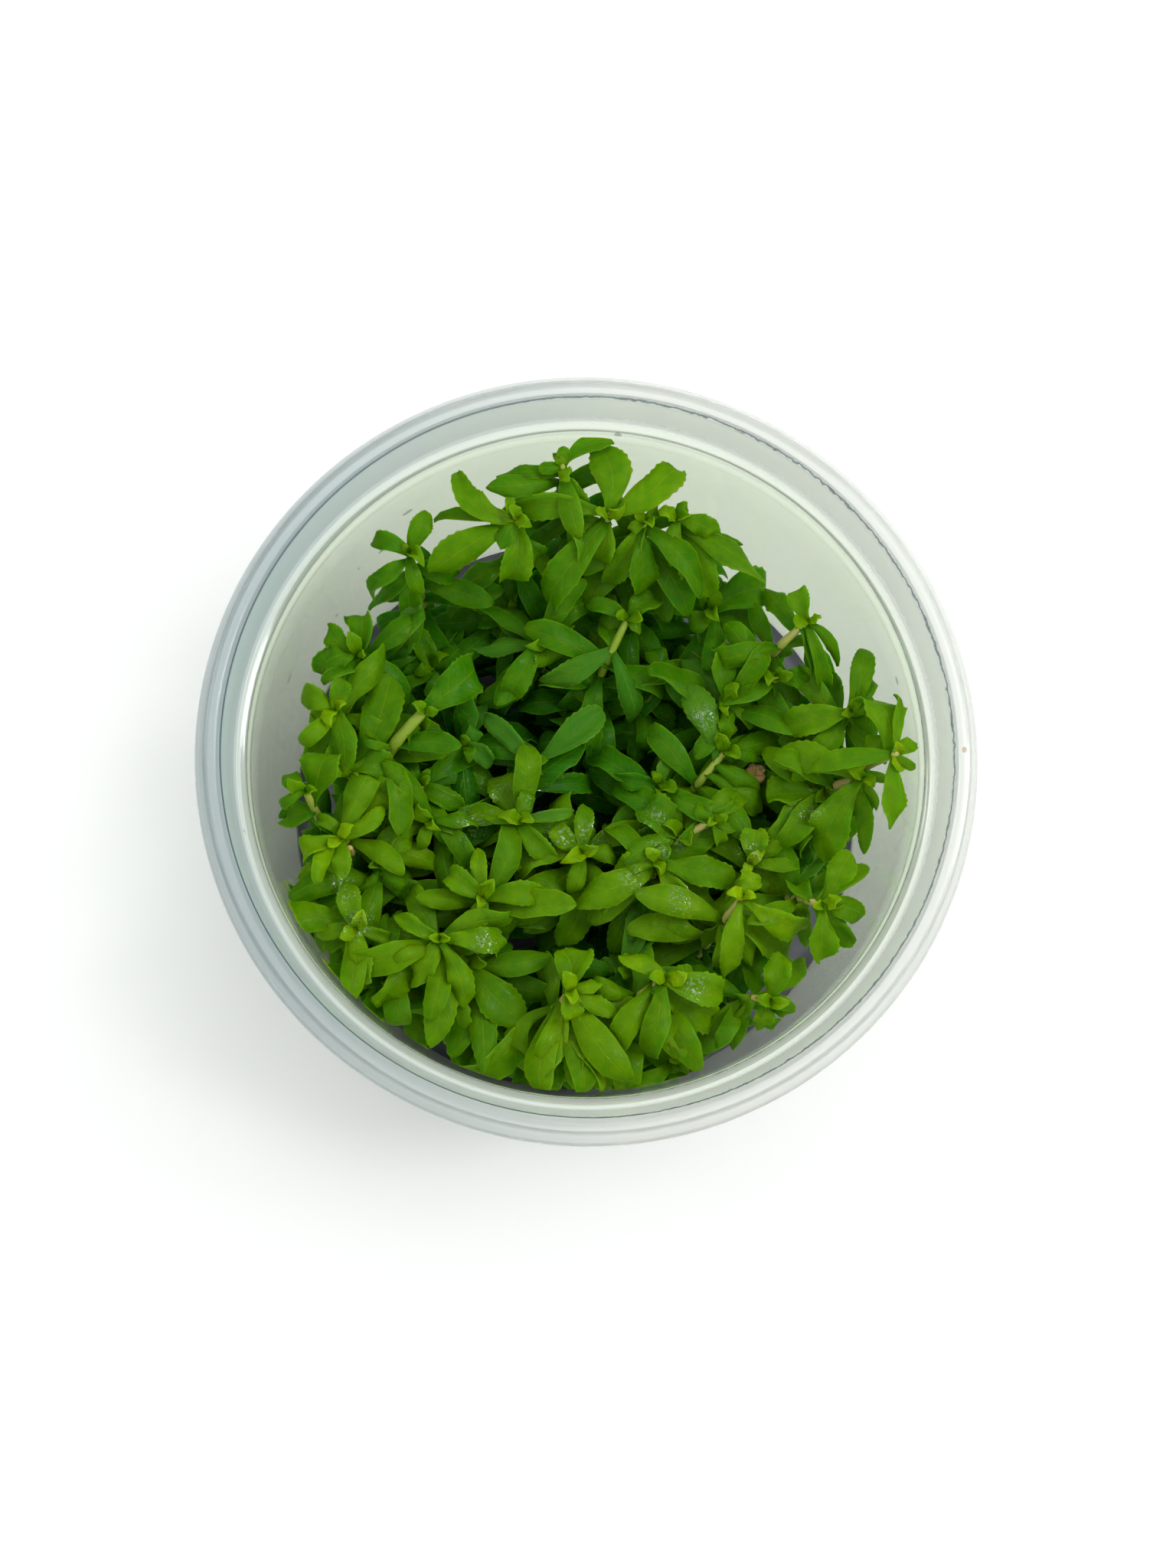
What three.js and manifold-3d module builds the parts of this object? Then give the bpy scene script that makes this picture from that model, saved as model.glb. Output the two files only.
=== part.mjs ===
// A clear plastic culture cup with a disc of gel on its floor and a dense stand of leafy shoots.
// Millimetres, +Z up, origin at the centre of the foot ring.
import * as THREE from 'three';
import { mergeVertices } from 'three/addons/utils/BufferGeometryUtils.js';
import Module from 'manifold-3d';

const wasm = await Module();
wasm.setup();

// Driving dimensions of the cup
const rimRadius = 50;
const cupHeight = 56;
const wallThickness = 0.8;
const flangeInnerRadius = 46.5;
const flangeOuterRadius = 48.5;
const skirtTop = cupHeight - 2.3;
const skirtBottom = cupHeight - 4.6;
const seatRadius = 45.1;
const seatHeight = cupHeight - 6.4;
const mouthRadius = 43.75;
const mouthHeight = cupHeight - 7;
const shelfDrop = 0.6;
const baseRadius = 40;
const floorTop = 1.7;
const floorEdge = 36.6;
const floorUnder = 0.8;
const footInner = 33.8;
const footOuter = 37.2;
const footSlope = 0.8;
const cornerHeight = 2.6;
const cornerSteps = 2;
const cupSides = 32;

// Driving dimensions of the gel, and the gap that touching pieces keep
const gelTop = 7.8;
const meniscusRise = 0.6;
const meniscusWidth = 1.2;
const socketDepth = 3;
const pieceGap = 0.3;

// Driving dimensions of the shoots. An outline row gives how far along the leaf it stands, and
// the leaf's breadth there as a share of its greatest width.
const stemRadius = 0.6;
const stemSides = 4;
const stemSteps = 2;
const leanAcross = 0.35;
const leanRise = 0.75;
const leafThickness = 0.55;
const petioleWidth = 0.5;
const highestLeaf = 0.96;
const wideLeaf = 4.4;
const wideOutline = [[0.36, 0.55], [0.72, 1], [1, 0.5]];
const narrowOutline = [[0.62, 1], [1, 0.5]];
const wallClearance = 0.5;
const smallestFeature = 0.1;
const weldDistance = 0.0001;
const tipLifts = [0, 1, -1, 2, -2, 3, -3, 4, -4, 5, -5, 6, -6, 7.5, -7.5];

// Leaf and stem tips are placed where they appear from the viewpoint above the cup, on a level
// plane at sightHeight. Each then slides along its sight line to its own height.
const viewpoint = new THREE.Vector3(-12.16, -59.2, 350.78);
const sightHeight = 40;

// Each shoot has its foot in the gel, its tip and its leaves. A leaf row gives where along the
// stem it grows, its tip, its greatest width, how far it arches and how far it bows sideways.
const shoots = [
  {
    foot: [0, 9.5], tip: [5.9, 21, 39.5], leaves: [
      [1, 10.3, 23.3, 39.5, 3.2, 1, 0], [0.78, -6, 11.8, 36.5, 3.4, 1.2, 0],
      [0.78, 7.6, 4.8, 32.5, 3, 2.6, 0], [0.8, 3, 20.2, 35.5, 2.5, 0.8, 0],
    ],
  },
  {
    foot: [-7, -35.5], tip: [-1.9, -29.4, 42], leaves: [
      [0.95, 0.3, -23.9, 40, 4.5, 1, 0], [1, -1.5, -33.4, 41.5, 3, 0.8, 0],
      [1, 4.4, -32.5, 41.5, 2.4, 0.8, 0], [0.9, 9.9, -32.2, 37.5, 4.8, 1.4, 0],
      [0.75, -7.2, -40.6, 35, 3.1, 1.6, 3.4], [0.78, 4.3, -40.2, 36, 4.3, 2, 0],
      [0.5, -2, -41, 30, 4, 1.2, 0],
    ],
  },
  {
    foot: [-21, 23], tip: [-23.7, 29.6, 46], leaves: [
      [1, -29.1, 31.2, 44.5, 2.6, 2.5, 0], [1, -20.8, 35.6, 47, 3, 1.2, 0],
      [0.95, -27.9, 23.3, 42.5, 3.2, 1.6, 0], [0.8, -29, 21.8, 37.5, 3, 1.4, 0],
      [0.7, -26, 13, 34, 3.2, 2, 0],
    ],
  },
  {
    foot: [-26, 15], tip: [-30.5, 15.8, 43], leaves: [
      [0.97, -35.8, 13.2, 41.5, 4.4, 2.4, 0], [1, -34.8, 19.4, 43.5, 3, 1.2, 0],
      [0.95, -29.8, 21.5, 43, 3.2, 1.4, 0], [0.8, -27.5, 11.5, 37, 3, 1.2, 0],
    ],
  },
  {
    foot: [-29, 6.5], tip: [-33.3, 7.9, 44], leaves: [
      [1, -32.4, 12.5, 45, 2.7, 0.8, 0], [1, -38.8, 10.2, 42.5, 3.4, 1.8, 0],
      [0.97, -31.6, -0.3, 42.5, 3.4, 1.2, 0], [0.9, -36.6, 6.3, 39, 2.8, 1, 0],
      [0.85, -29.8, 12.6, 40, 2.6, 1.4, 0], [0.75, -37, 0.5, 36, 3, 1.4, 0],
    ],
  },
  {
    foot: [-30, -1.5], tip: [-23.5, 6, 38.5], leaves: [
      [0.97, -12.6, 15.3, 41, 5.4, 1.6, 0], [0.85, -21.3, 1.8, 34, 3.2, 1, 0],
    ],
  },
  {
    foot: [-26.5, -3.5], tip: [-31.3, -0.8, 41], leaves: [
      [0.97, -26, 12.9, 42, 5.4, 1, 0], [1, -25.3, -0.2, 40, 3.8, 1.2, 0],
      [0.85, -26.8, -4.6, 36, 2.6, 1, 0],
    ],
  },
  {
    foot: [-33, -10.5], tip: [-37, -3, 44.5], leaves: [
      [0.95, -39.6, -0.5, 42, 2.6, 1, 0], [0.8, -39.8, -6.8, 37, 3.8, 1.2, 0],
      [0.85, -34, 2.8, 44.5, 5.6, 1.4, 0],
    ],
  },
  {
    foot: [-28.5, -8.5], tip: [-32.3, -9.5, 42], leaves: [
      [1, -38.3, -11.6, 42, 2.9, 1, 0], [1, -26.3, -5.1, 42, 2.4, 0.8, 0],
      [0.97, -31.9, -14.8, 42.5, 2.5, 1, 0], [0.85, -37.7, -16.4, 37.5, 5, 1.4, 0],
      [0.72, -18.4, -13.2, 35, 3.3, 2, 0],
    ],
  },
  {
    foot: [-31, -16.5], tip: [-30, -21.3, 42], leaves: [
      [1, -31.1, -15.2, 41, 3.2, 1, 0], [1, -28.7, -28.8, 41, 3.9, 1.4, 0],
    ],
  },
  {
    foot: [-22.5, -5], tip: [-21.8, -1.9, 38], leaves: [
      [0.92, -26.9, -2, 35.5, 2.4, 1, 0], [0.9, -16.6, -5, 35, 3.1, 1, 0],
      [0.82, -15, -3.4, 32.5, 3.5, 1.2, 0], [0.85, -14.4, 0.4, 33.5, 2.6, 1.2, 0],
    ],
  },
  {
    foot: [-18.5, -9], tip: [-20.3, -6.8, 38.5], leaves: [
      [1, -26, -3.9, 39, 1.9, 0.6, 0], [1, -13.8, -7.1, 38.5, 2.2, 1, 0],
      [0.95, -21.6, -10.9, 37.5, 1.9, 1, 0],
    ],
  },
  {
    foot: [-17.5, 6.5], tip: [-15.8, 3, 36.5], leaves: [
      [1, -12.3, 0.8, 36, 2.6, 1, 0], [0.9, -21, 2.9, 34.5, 2.6, 1, 0],
      [0.85, -13.2, 8.9, 33.5, 2.4, 1, 0],
    ],
  },
  {
    foot: [-8.5, 28], tip: [-9.1, 34.6, 48], leaves: [
      [1, -17, 39.5, 46.5, 3.5, 2.6, -2.4], [0.97, -20, 30.4, 45.5, 4.4, 1.4, 0],
      [1, -11.3, 30.5, 47.5, 2.6, 0.8, 0], [0.92, -10.6, 24.3, 42.5, 4.2, 1.6, 0],
      [0.85, -5.3, 28, 40, 3, 1, 0],
    ],
  },
  {
    foot: [-2.5, 34], tip: [-3, 42.3, 49], leaves: [
      [0.92, -12.5, 42, 46.5, 2.5, 1, 0], [0.9, 0.3, 36, 45, 3, 1, 0],
    ],
  },
  {
    foot: [2, 28], tip: [3.3, 35.8, 48], leaves: [
      [1, 2.4, 44.6, 47.5, 5.4, 2.2, 0], [0.97, 13, 43.2, 46.5, 4.8, 2.2, 1],
      [0.97, -9.7, 36.4, 45, 3.7, 1.2, 0], [0.9, -3.6, 32.1, 44, 2.6, 1, 0],
      [0.92, -7.2, 20.4, 40.5, 4.5, 2, 0], [0.92, 1.6, 27.8, 42.5, 3.2, 1, 0],
    ],
  },
  {
    foot: [7.5, 28], tip: [8, 34.5, 46.5], leaves: [
      [0.95, 2.7, 25.8, 41, 3.5, 1, 0], [0.95, 8, 23.8, 41.5, 4, 1.2, 0],
    ],
  },
  {
    foot: [12.5, 29], tip: [12.6, 35, 46], leaves: [
      [1, 18.4, 33, 45.5, 3, 1, 0], [1, 12, 28.3, 45, 2.6, 0.8, 0],
      [0.92, 24.8, 26.4, 43, 4, 1.6, 0], [0.9, 17, 24, 40.5, 5, 1.6, 0],
      [0.85, 12.5, 22.6, 38, 3, 1.2, 0],
    ],
  },
  {
    foot: [22.5, 14], tip: [30.3, 20.8, 45], leaves: [
      [1, 28.9, 25.5, 46, 3, 0.8, 0], [0.92, 32, 13.4, 37, 2.6, 2, 1],
      [0.88, 24.6, 25.6, 39, 3.2, 1, 0],
    ],
  },
  {
    foot: [15.5, 18.5], tip: [17.3, 22.4, 38], leaves: [
      [1, 17.8, 26.4, 36.5, 3.4, 0.8, 0], [0.9, 23.6, 20.6, 35.5, 4.5, 1.2, 0],
      [0.95, 13.4, 19.9, 36.5, 3, 0.8, 0], [0.9, 16.6, 17.2, 34, 2.6, 0.8, 0],
    ],
  },
  {
    foot: [17, 6], tip: [19.2, 9.4, 40], leaves: [
      [1, 18.9, 17.6, 41, 3.3, 1, 0], [0.95, 20.2, 4.4, 38.5, 2.9, 1, 0],
      [0.85, 27.6, 9, 34.5, 3.2, 1.2, 0], [0.88, 13, 15.8, 36, 3, 1, 0],
    ],
  },
  {
    foot: [20, 11], tip: [26, 12.9, 41], leaves: [
      [1, 30.3, 11.4, 40, 2.7, 1, 0], [0.8, 22.6, 17.6, 34, 5, 1.2, 0],
    ],
  },
  {
    foot: [11.5, -5.5], tip: [19, 2.9, 38.5], leaves: [
      [0.9, 13.8, 11.6, 39, 4.2, 1.4, 0], [0.88, 23.4, -2.2, 34.5, 2.4, 1.2, 0],
      [0.8, 24.2, -5.6, 32, 4.4, 1.4, 0], [0.95, 26.3, 4.4, 35.5, 3.2, 1.2, 0],
    ],
  },
  {
    foot: [8.5, -4.5], tip: [10.3, -1.6, 36.5], leaves: [
      [0.95, 3.8, -0.7, 35.5, 2.4, 1, 0], [0.85, 13.2, 6.2, 32, 3, 1, 0],
      [0.88, 4.6, -6.4, 32.5, 3.4, 1, 0],
    ],
  },
  {
    foot: [15.5, -13], tip: [12.7, -8.5, 37.5], leaves: [
      [1, 7.2, -5, 37.5, 5.2, 1, 0], [0.92, 6, -10.2, 34, 4, 1.2, 0],
      [0.85, 13.3, -3.8, 32, 2.6, 1, 0],
    ],
  },
  {
    foot: [9, -10.5], tip: [17.3, -6.6, 40], leaves: [
      [0.9, 21.6, -3.2, 35.5, 3.4, 1, 0],
    ],
  },
  {
    foot: [-7, -10], tip: [-8.7, -6.8, 39], leaves: [
      [1, -7.3, -2.4, 39, 2.4, 0.7, 0], [0.95, -3.6, -12.3, 37.5, 3, 1.2, 0],
      [0.85, -12.2, -0.6, 36.5, 4.6, 1, 0],
    ],
  },
  {
    foot: [-12.8, -7.6], tip: [-6.8, 0.8, 37], leaves: [
      [1, -13.6, 7.6, 36.5, 2.7, 1, 0], [1, 2.3, 7.8, 37.5, 4.2, 1.2, 0],
      [0.8, 3.4, -2.2, 31, 2.8, 1.2, 0],
    ],
  },
  {
    foot: [-5.5, 15], tip: [-5.8, 18, 38], leaves: [
      [1, -11.2, 8, 37, 3.6, 1.4, 0], [1, -5.4, 13.9, 38, 3.9, 0.6, 0],
      [0.9, -14.8, 16.2, 34, 2.6, 1, 0], [0.95, -1.6, 20.4, 36, 3, 0.8, 0],
    ],
  },
  {
    foot: [1.5, -14], tip: [-0.4, -10.9, 38.5], leaves: [
      [1, 0.2, -4.3, 38.5, 2.6, 0.8, 0], [1, -4.5, -6.9, 38, 2.9, 0.8, 0],
      [1, 5.3, -12.4, 37.5, 2.4, 1.2, 0], [0.97, -1.9, -17.2, 37.5, 2.4, 1.2, 0],
      [0.75, -3, -24, 32, 5, 1.4, 0],
    ],
  },
  {
    foot: [8.5, -16.5], tip: [9.6, -12.3, 40], leaves: [
      [1, 3.8, -14, 39, 3, 1, 0], [0.95, -2, -18, 36.5, 4.3, 2, 0],
      [1, 20, -14.5, 39.5, 4.3, 1.6, 0], [0.97, 14, -18.3, 38.5, 3.6, 1.2, 0],
      [0.75, 3.6, -25.2, 32.5, 3.6, 1.4, 0], [0.75, 12.7, -24.6, 32.5, 2.9, 1.4, 0],
    ],
  },
  {
    foot: [4.5, -28.5], tip: [5, -26, 35], leaves: [
      [1, 8, -16.4, 35.5, 3.5, 1, 0], [0.95, 10, -21, 33.5, 2.9, 1, 0],
      [0.9, 1.4, -26.8, 32, 2.4, 0.8, 0],
    ],
  },
  {
    foot: [-14.5, -20], tip: [-13.3, -17.1, 40], leaves: [
      [1, -18.7, -13.3, 40, 3.3, 1, 0], [0.97, -15.4, -21.6, 38.5, 3, 1, 0],
      [0.97, -4.8, -16.6, 39, 3.3, 1.4, 0], [0.85, -3, -14.9, 35.5, 2.4, 1.6, 0],
      [0.8, -7.6, -21.6, 33, 4.6, 1.2, 0],
    ],
  },
  {
    foot: [-20.5, -27], tip: [-19, -22.6, 41.5], leaves: [
      [0.97, -22.5, -28.8, 40, 3.2, 1.4, 0], [1, -15.3, -32, 40, 3.3, 1.4, 0],
      [1, -10, -23.4, 41, 3.3, 1.2, 0], [0.8, -16, -38.6, 34, 4.7, 2, 0],
    ],
  },
  {
    foot: [-25, -25.5], tip: [-25.6, -28, 36.5], leaves: [
      [1, -18.8, -33.1, 35.5, 3.1, 1.2, 0], [0.92, -27.8, -31.2, 34, 2.6, 0.8, 0],
      [0.85, -21, -25.4, 32.5, 2.6, 1, 0],
    ],
  },
  {
    foot: [-13.5, -28], tip: [-15.2, -25.8, 37.5], leaves: [
      [1, -8.4, -33.6, 36.5, 5.4, 1.4, 0], [0.92, -9.9, -28.2, 34, 3.4, 1, 0],
    ],
  },
  {
    foot: [3.5, -32.5], tip: [10.8, -27.5, 42], leaves: [
      [1, 4.5, -25, 42, 2.9, 1.2, 0], [0.97, 18.7, -29.5, 40.5, 4.4, 1.6, 0],
      [0.97, 10.2, -35.8, 39, 3.1, 1.2, 1.6], [0.85, 17.8, -33.5, 36.5, 4.5, 1.4, 0],
    ],
  },
  {
    foot: [4.5, -36.5], tip: [12.3, -38.4, 37], leaves: [
      [0.9, 15, -36.3, 36, 2.2, 0.8, 0], [1, 13.9, -40, 36.5, 2, 0.6, 0],
      [0.85, 4.6, -40.6, 34, 1.8, 1, 1],
    ],
  },
  {
    foot: [16.5, -22.5], tip: [21, -16.9, 42.5], leaves: [
      [1, 21.6, -12.9, 42.5, 3.1, 0.6, 0], [0.97, 19.3, -28, 40, 3.5, 1.8, 0],
      [0.97, 29.8, -21.4, 40.5, 3.9, 1.8, 0], [0.75, 27, -24.9, 34.5, 5.2, 1.4, 0],
      [0.7, 17.6, -23.8, 32, 4, 1, 0],
    ],
  },
  {
    foot: [22.5, -14.5], tip: [22, -12.4, 39.5], leaves: [
      [1, 23, -8, 40.5, 3.7, 0.8, 0], [0.85, 27.2, -16.4, 34.5, 3.4, 1, 0],
      [0.85, 28.4, -10.4, 34, 4.2, 1, 0],
    ],
  },
  {
    foot: [25.5, -15.5], tip: [31.6, -18.2, 43], leaves: [
      [1, 35.6, -10.6, 43.5, 3.7, 1, 0], [0.92, 37.6, -13, 40, 2.7, 1, 0],
      [0.97, 37.4, -19.4, 42, 3.6, 1.4, 0], [0.97, 31, -25.3, 42, 3.7, 1.4, 0],
    ],
  },
  {
    foot: [17.5, -29.5], tip: [24.6, -30.6, 41], leaves: [
      [1, 22.5, -34.5, 40, 2.7, 1, 0], [0.97, 26, -24.3, 41.5, 3.6, 1, 0],
      [0.9, 29.3, -25.1, 38, 2.7, 1, 0], [0.8, 22, -25.4, 34, 4, 1, 0],
    ],
  },
  {
    foot: [32.5, 0.5], tip: [42, 2.6, 49], leaves: [
      [0.9, 38.5, 11.4, 47, 5.5, 1.2, 0], [0.97, 41.8, -7.3, 46.5, 3.1, 1.2, 0],
      [0.97, 29.8, 0.6, 46, 2.8, 1.2, 0],
    ],
  },
  {
    foot: [30, -2.5], tip: [37.2, -0.8, 44], leaves: [
      [0.97, 31.6, -12.3, 42, 5.4, 1.4, 0], [0.9, 37.2, -11, 38.5, 2.5, 1.4, 0],
      [0.95, 25, 2.1, 42, 4.2, 1.4, 0],
    ],
  },
  {
    foot: [29.5, 5], tip: [36, 8.4, 43.5], leaves: [
      [1, 26.6, 6.1, 40.5, 4.3, 1.4, 0], [0.97, 37.1, 18, 43, 2.8, 1.6, 0],
      [0.85, 33.5, 13.6, 38, 2.6, 1, 0],
    ],
  },
  {
    foot: [-28, -21.5], tip: [-26.9, -13, 38.5], leaves: [
      [0.85, -20.6, -17.6, 31.5, 3.4, 1, 0], [0.97, -23.6, -7, 37.5, 4.4, 1.2, 0],
    ],
  },
  {
    foot: [31, -9], tip: [32.4, -3.2, 39], leaves: [
      [1, 24.3, -3.4, 38.5, 4.5, 1.2, 0], [0.85, 30.5, -13, 35, 3.6, 1.2, 0],
    ],
  },
  {
    foot: [2, 3], tip: [1.5, 5, 28], leaves: [
      [0.95, -3.4, 7.4, 26, 3.2, 0.8, 0], [0.95, 6.4, 4.8, 26, 3.2, 0.8, 0],
      [0.9, 2.2, -1.6, 25.5, 3, 0.8, 0], [0.9, 0.5, 11, 25.5, 3, 0.8, 0],
    ],
  },
  {
    foot: [6.5, 9.5], tip: [7, 10.2, 31], leaves: [
      [1, 12.4, 7.2, 30, 2.4, 0.8, 0], [1, 3, 8.6, 29.5, 3, 0.8, 0],
      [0.95, 8.2, 3.9, 28.5, 3.2, 0.8, 0], [0.95, 6.4, 15.2, 29.5, 3, 0.8, 0],
    ],
  },
  {
    foot: [-9.5, 20.5], tip: [-10, 21.4, 32], leaves: [
      [1, -15.2, 21, 31, 3.2, 0.8, 0], [0.97, -10.6, 26.6, 31, 3, 0.8, 0],
      [0.95, -8.8, 15.6, 30.5, 3.2, 0.8, 0],
    ],
  },
  {
    foot: [-20, 13.5], tip: [-20.5, 14, 31], leaves: [
      [1, -24, 11.4, 30, 3, 0.8, 0], [1, -16.6, 17.2, 31, 4.2, 0.8, 0],
      [0.95, -19.5, 8.4, 29.5, 3.2, 0.8, 0],
    ],
  },
  {
    foot: [26, -8], tip: [26.6, -7.6, 30.5], leaves: [
      [1, 31, -7.4, 30, 3, 0.8, 0], [1, 22.6, -9.6, 29.5, 3, 0.8, 0],
    ],
  },
  {
    foot: [12, 12.5], tip: [11.5, 13.5, 33], leaves: [
      [1, 8.6, 17.2, 33, 3, 0.8, 0], [1, 14.6, 9.6, 31.5, 2.6, 0.8, 0],
    ],
  },
];

// The stub of a thicker stem that was cut across, with its foot in the gel
const cutStem = { foot: [21.5, -1.5], tip: [22.9, -0.1, 36.5], radius: 0.8, endRadius: 1.3 };

// The cup's wall tapers evenly from its mouth to its floor and is as thick all the way.
const wallSlope = (mouthRadius - baseRadius) / mouthHeight;
const innerRadius = (z) => mouthRadius - (mouthHeight - Math.min(z, mouthHeight)) * wallSlope;
const outerRadius = (z) => innerRadius(z) + wallThickness;

// A geometry as a solid that can be joined and cut, and back
function toSolid(geometry) {
  const bare = geometry.clone();
  bare.deleteAttribute('normal');
  bare.deleteAttribute('uv');
  const merged = mergeVertices(bare, weldDistance);
  return new wasm.Manifold(new wasm.Mesh({
    numProp: 3,
    vertProperties: new Float32Array(merged.attributes.position.array),
    triVerts: new Uint32Array(merged.index.array),
  }));
}

function toGeometry(solid) {
  const mesh = solid.getMesh();
  const geometry = new THREE.BufferGeometry();
  geometry.setAttribute('position', new THREE.Float32BufferAttribute(mesh.vertProperties, 3));
  geometry.setIndex(Array.from(mesh.triVerts));
  geometry.computeVertexNormals();
  return geometry;
}

// A closed body of rings of points, each joined to the next, with both ends capped.
function bodyOfRings(rings) {
  const count = rings[0].length;
  const faces = [];
  for (let ring = 0; ring < rings.length - 1; ring += 1) {
    for (let i = 0; i < count; i += 1) {
      const a = ring * count + i;
      const b = ring * count + ((i + 1) % count);
      faces.push(a, b, b + count, a, b + count, a + count);
    }
  }
  const last = (rings.length - 1) * count;
  for (let i = 1; i < count - 1; i += 1) {
    faces.push(0, i + 1, i, last, last + i, last + i + 1);
  }
  const geometry = new THREE.BufferGeometry().setFromPoints(rings.flat());
  geometry.setIndex(faces);
  return geometry;
}

// The point at height z that appears where x, y on the plane at sightHeight does
function seenAt([x, y, z]) {
  const onPlane = new THREE.Vector3(x, y, sightHeight);
  const reach = (viewpoint.z - z) / (viewpoint.z - sightHeight);
  return viewpoint.clone().add(onPlane.sub(viewpoint).multiplyScalar(reach));
}

// A leaf that meets the wall is pressed flat along it.
function insideWall(point, clearance) {
  const reach = Math.hypot(point.x, point.y);
  const limit = innerRadius(point.z) * Math.cos(Math.PI / cupSides) - clearance;
  if (reach <= limit) return point;
  return new THREE.Vector3(point.x * limit / reach, point.y * limit / reach, point.z);
}

// The stem rises from its foot and leans over to its tip.
function stemCurve({ foot, tip }) {
  const start = new THREE.Vector3(foot[0], foot[1], gelTop - socketDepth);
  const end = insideWall(seenAt(tip), wallClearance + stemRadius);
  const lean = start.clone().lerp(end, leanAcross);
  lean.z = THREE.MathUtils.lerp(start.z, end.z, leanRise);
  return new THREE.QuadraticBezierCurve3(start, lean, end);
}

// The stem's solid has stemSteps straight stretches, so a leaf's place is taken along those.
function stemPoint(curve, at) {
  const step = Math.min(Math.floor(at * stemSteps), stemSteps - 1);
  const below = curve.getPoint(step / stemSteps);
  const above = curve.getPoint((step + 1) / stemSteps);
  return below.lerp(above, at * stemSteps - step);
}

function stemBody(curve, radius, endRadius, extra) {
  const rings = [];
  for (let step = 0; step <= stemSteps; step += 1) {
    const at = step / stemSteps;
    const centre = curve.getPoint(at);
    const spread = THREE.MathUtils.lerp(radius, endRadius, at) + extra;
    if (step === 0) centre.z -= extra;
    if (step === stemSteps) centre.z += extra;
    const side = new THREE.Vector3(1, 0, 0);
    const along = curve.getTangent(at);
    side.addScaledVector(along, -side.dot(along)).normalize();
    const front = along.clone().cross(side);
    rings.push(Array.from({ length: stemSides }, (_, i) => {
      const turn = i * 2 * Math.PI / stemSides;
      return centre.clone()
        .addScaledVector(side, spread * Math.cos(turn))
        .addScaledVector(front, spread * Math.sin(turn));
    }));
  }
  return toSolid(bodyOfRings(rings));
}

// A leaf runs from inside its stem to its tip: narrow at first, widest past its middle and blunt
// at the end. extra fattens it on all sides, which makes the room that a neighbour leaves round it.
function leafBody(stem, [at, x, y, z, width, arch, bow], extra) {
  const start = stemPoint(stem, Math.min(at, highestLeaf));
  const end = insideWall(seenAt([x, y, z]), wallClearance + extra);
  const outward = end.clone().sub(start).setZ(0).normalize();
  const across = outward.clone().cross(new THREE.Vector3(0, 0, 1));
  const bend = start.clone().lerp(end, 0.5);
  bend.z += 2 * arch;
  bend.addScaledVector(across, 2 * bow);
  const curve = new THREE.QuadraticBezierCurve3(start, bend, end);
  const outline = width >= wideLeaf ? wideOutline : narrowOutline;
  const stations = [[0, petioleWidth / width], ...outline];
  const rings = stations.map(([along, share], index) => {
    const centre = curve.getPoint(along);
    const forward = curve.getTangent(along);
    const side = across.clone().addScaledVector(forward, -across.dot(forward)).normalize();
    const up = side.clone().cross(forward);
    if (extra > 0 && index === stations.length - 1) centre.addScaledVector(forward, extra);
    const half = width * share / 2;
    const corner = (sideways, upward) => insideWall(
      centre.clone().addScaledVector(side, sideways).addScaledVector(up, upward),
      wallClearance - extra,
    );
    if (extra === 0) {
      const face = leafThickness / 2;
      return [corner(half, face), corner(0, -leafThickness), corner(-half, face)];
    }
    const top = leafThickness / 2 + extra;
    const under = -leafThickness - extra;
    return [corner(half + extra, top), corner(half + extra, under),
      corner(-half - extra, under), corner(-half - extra, top)];
  });
  return toSolid(bodyOfRings(rings));
}

// The stems as curves, and the room that each takes with the gap that its neighbours leave
const stemCurves = shoots.map(stemCurve);
const stubCurve = stemCurve(cutStem);
const shootStem = (curve, extra) => stemBody(curve, stemRadius, stemRadius, extra);
const stubStem = (extra) => stemBody(stubCurve, cutStem.radius, cutStem.endRadius, extra);
const stemRooms = stemCurves.map((curve) => shootStem(curve, pieceGap));
stemRooms.push(stubStem(pieceGap));

// Whether the boxes round two solids are clear of each other
function apart(a, b) {
  const boxA = a.boundingBox();
  const boxB = b.boundingBox();
  return [0, 1, 2].some((i) => boxA.min[i] > boxB.max[i] || boxB.min[i] > boxA.max[i]);
}

// The piece of a cut shoot that still stands in the gel
function rootedPiece(solid) {
  const pieces = solid.decompose();
  return pieces.reduce((low, piece) => (
    piece.boundingBox().min[2] < low.boundingBox().min[2] ? piece : low));
}

// A leaf that would run into a neighbour bends up or down past it, by as little as clears it.
function fitLeaf(stem, [at, x, y, z, ...form], neighbours) {
  let best = null;
  for (const lift of tipLifts) {
    const trial = [at, x, y, z + lift, ...form];
    const leaf = leafBody(stem, trial, 0);
    const touched = neighbours.filter((room) => !apart(room, leaf)
      && !leaf.intersect(room).isEmpty());
    if (best === null || touched.length < best.touched.length) {
      best = { trial, leaf, touched };
    }
    if (touched.length === 0) break;
  }
  return best;
}

// The shoots grow one after another, each round the stems and the leaves that are already there.
function growShoots() {
  const leafRooms = [];
  return shoots.map((shoot, index) => {
    const stem = stemCurves[index];
    const neighbours = stemRooms.filter((_, other) => other !== index).concat(leafRooms);
    let body = shootStem(stem, 0);
    shoot.leaves.forEach((row) => {
      const { trial, leaf, touched } = fitLeaf(stem, row, neighbours);
      body = body.add(touched.reduce((cut, room) => cut.subtract(room), leaf));
      leafRooms.push(leafBody(stem, trial, pieceGap));
    });
    return rootedPiece(body.simplify(smallestFeature));
  });
}

// A round body from its profile, whose rows give a radius and a height
function turned(profile) {
  const points = profile.map(([radius, height]) => new THREE.Vector2(radius, height));
  return toSolid(new THREE.LatheGeometry(points, cupSides).rotateX(Math.PI / 2));
}

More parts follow.
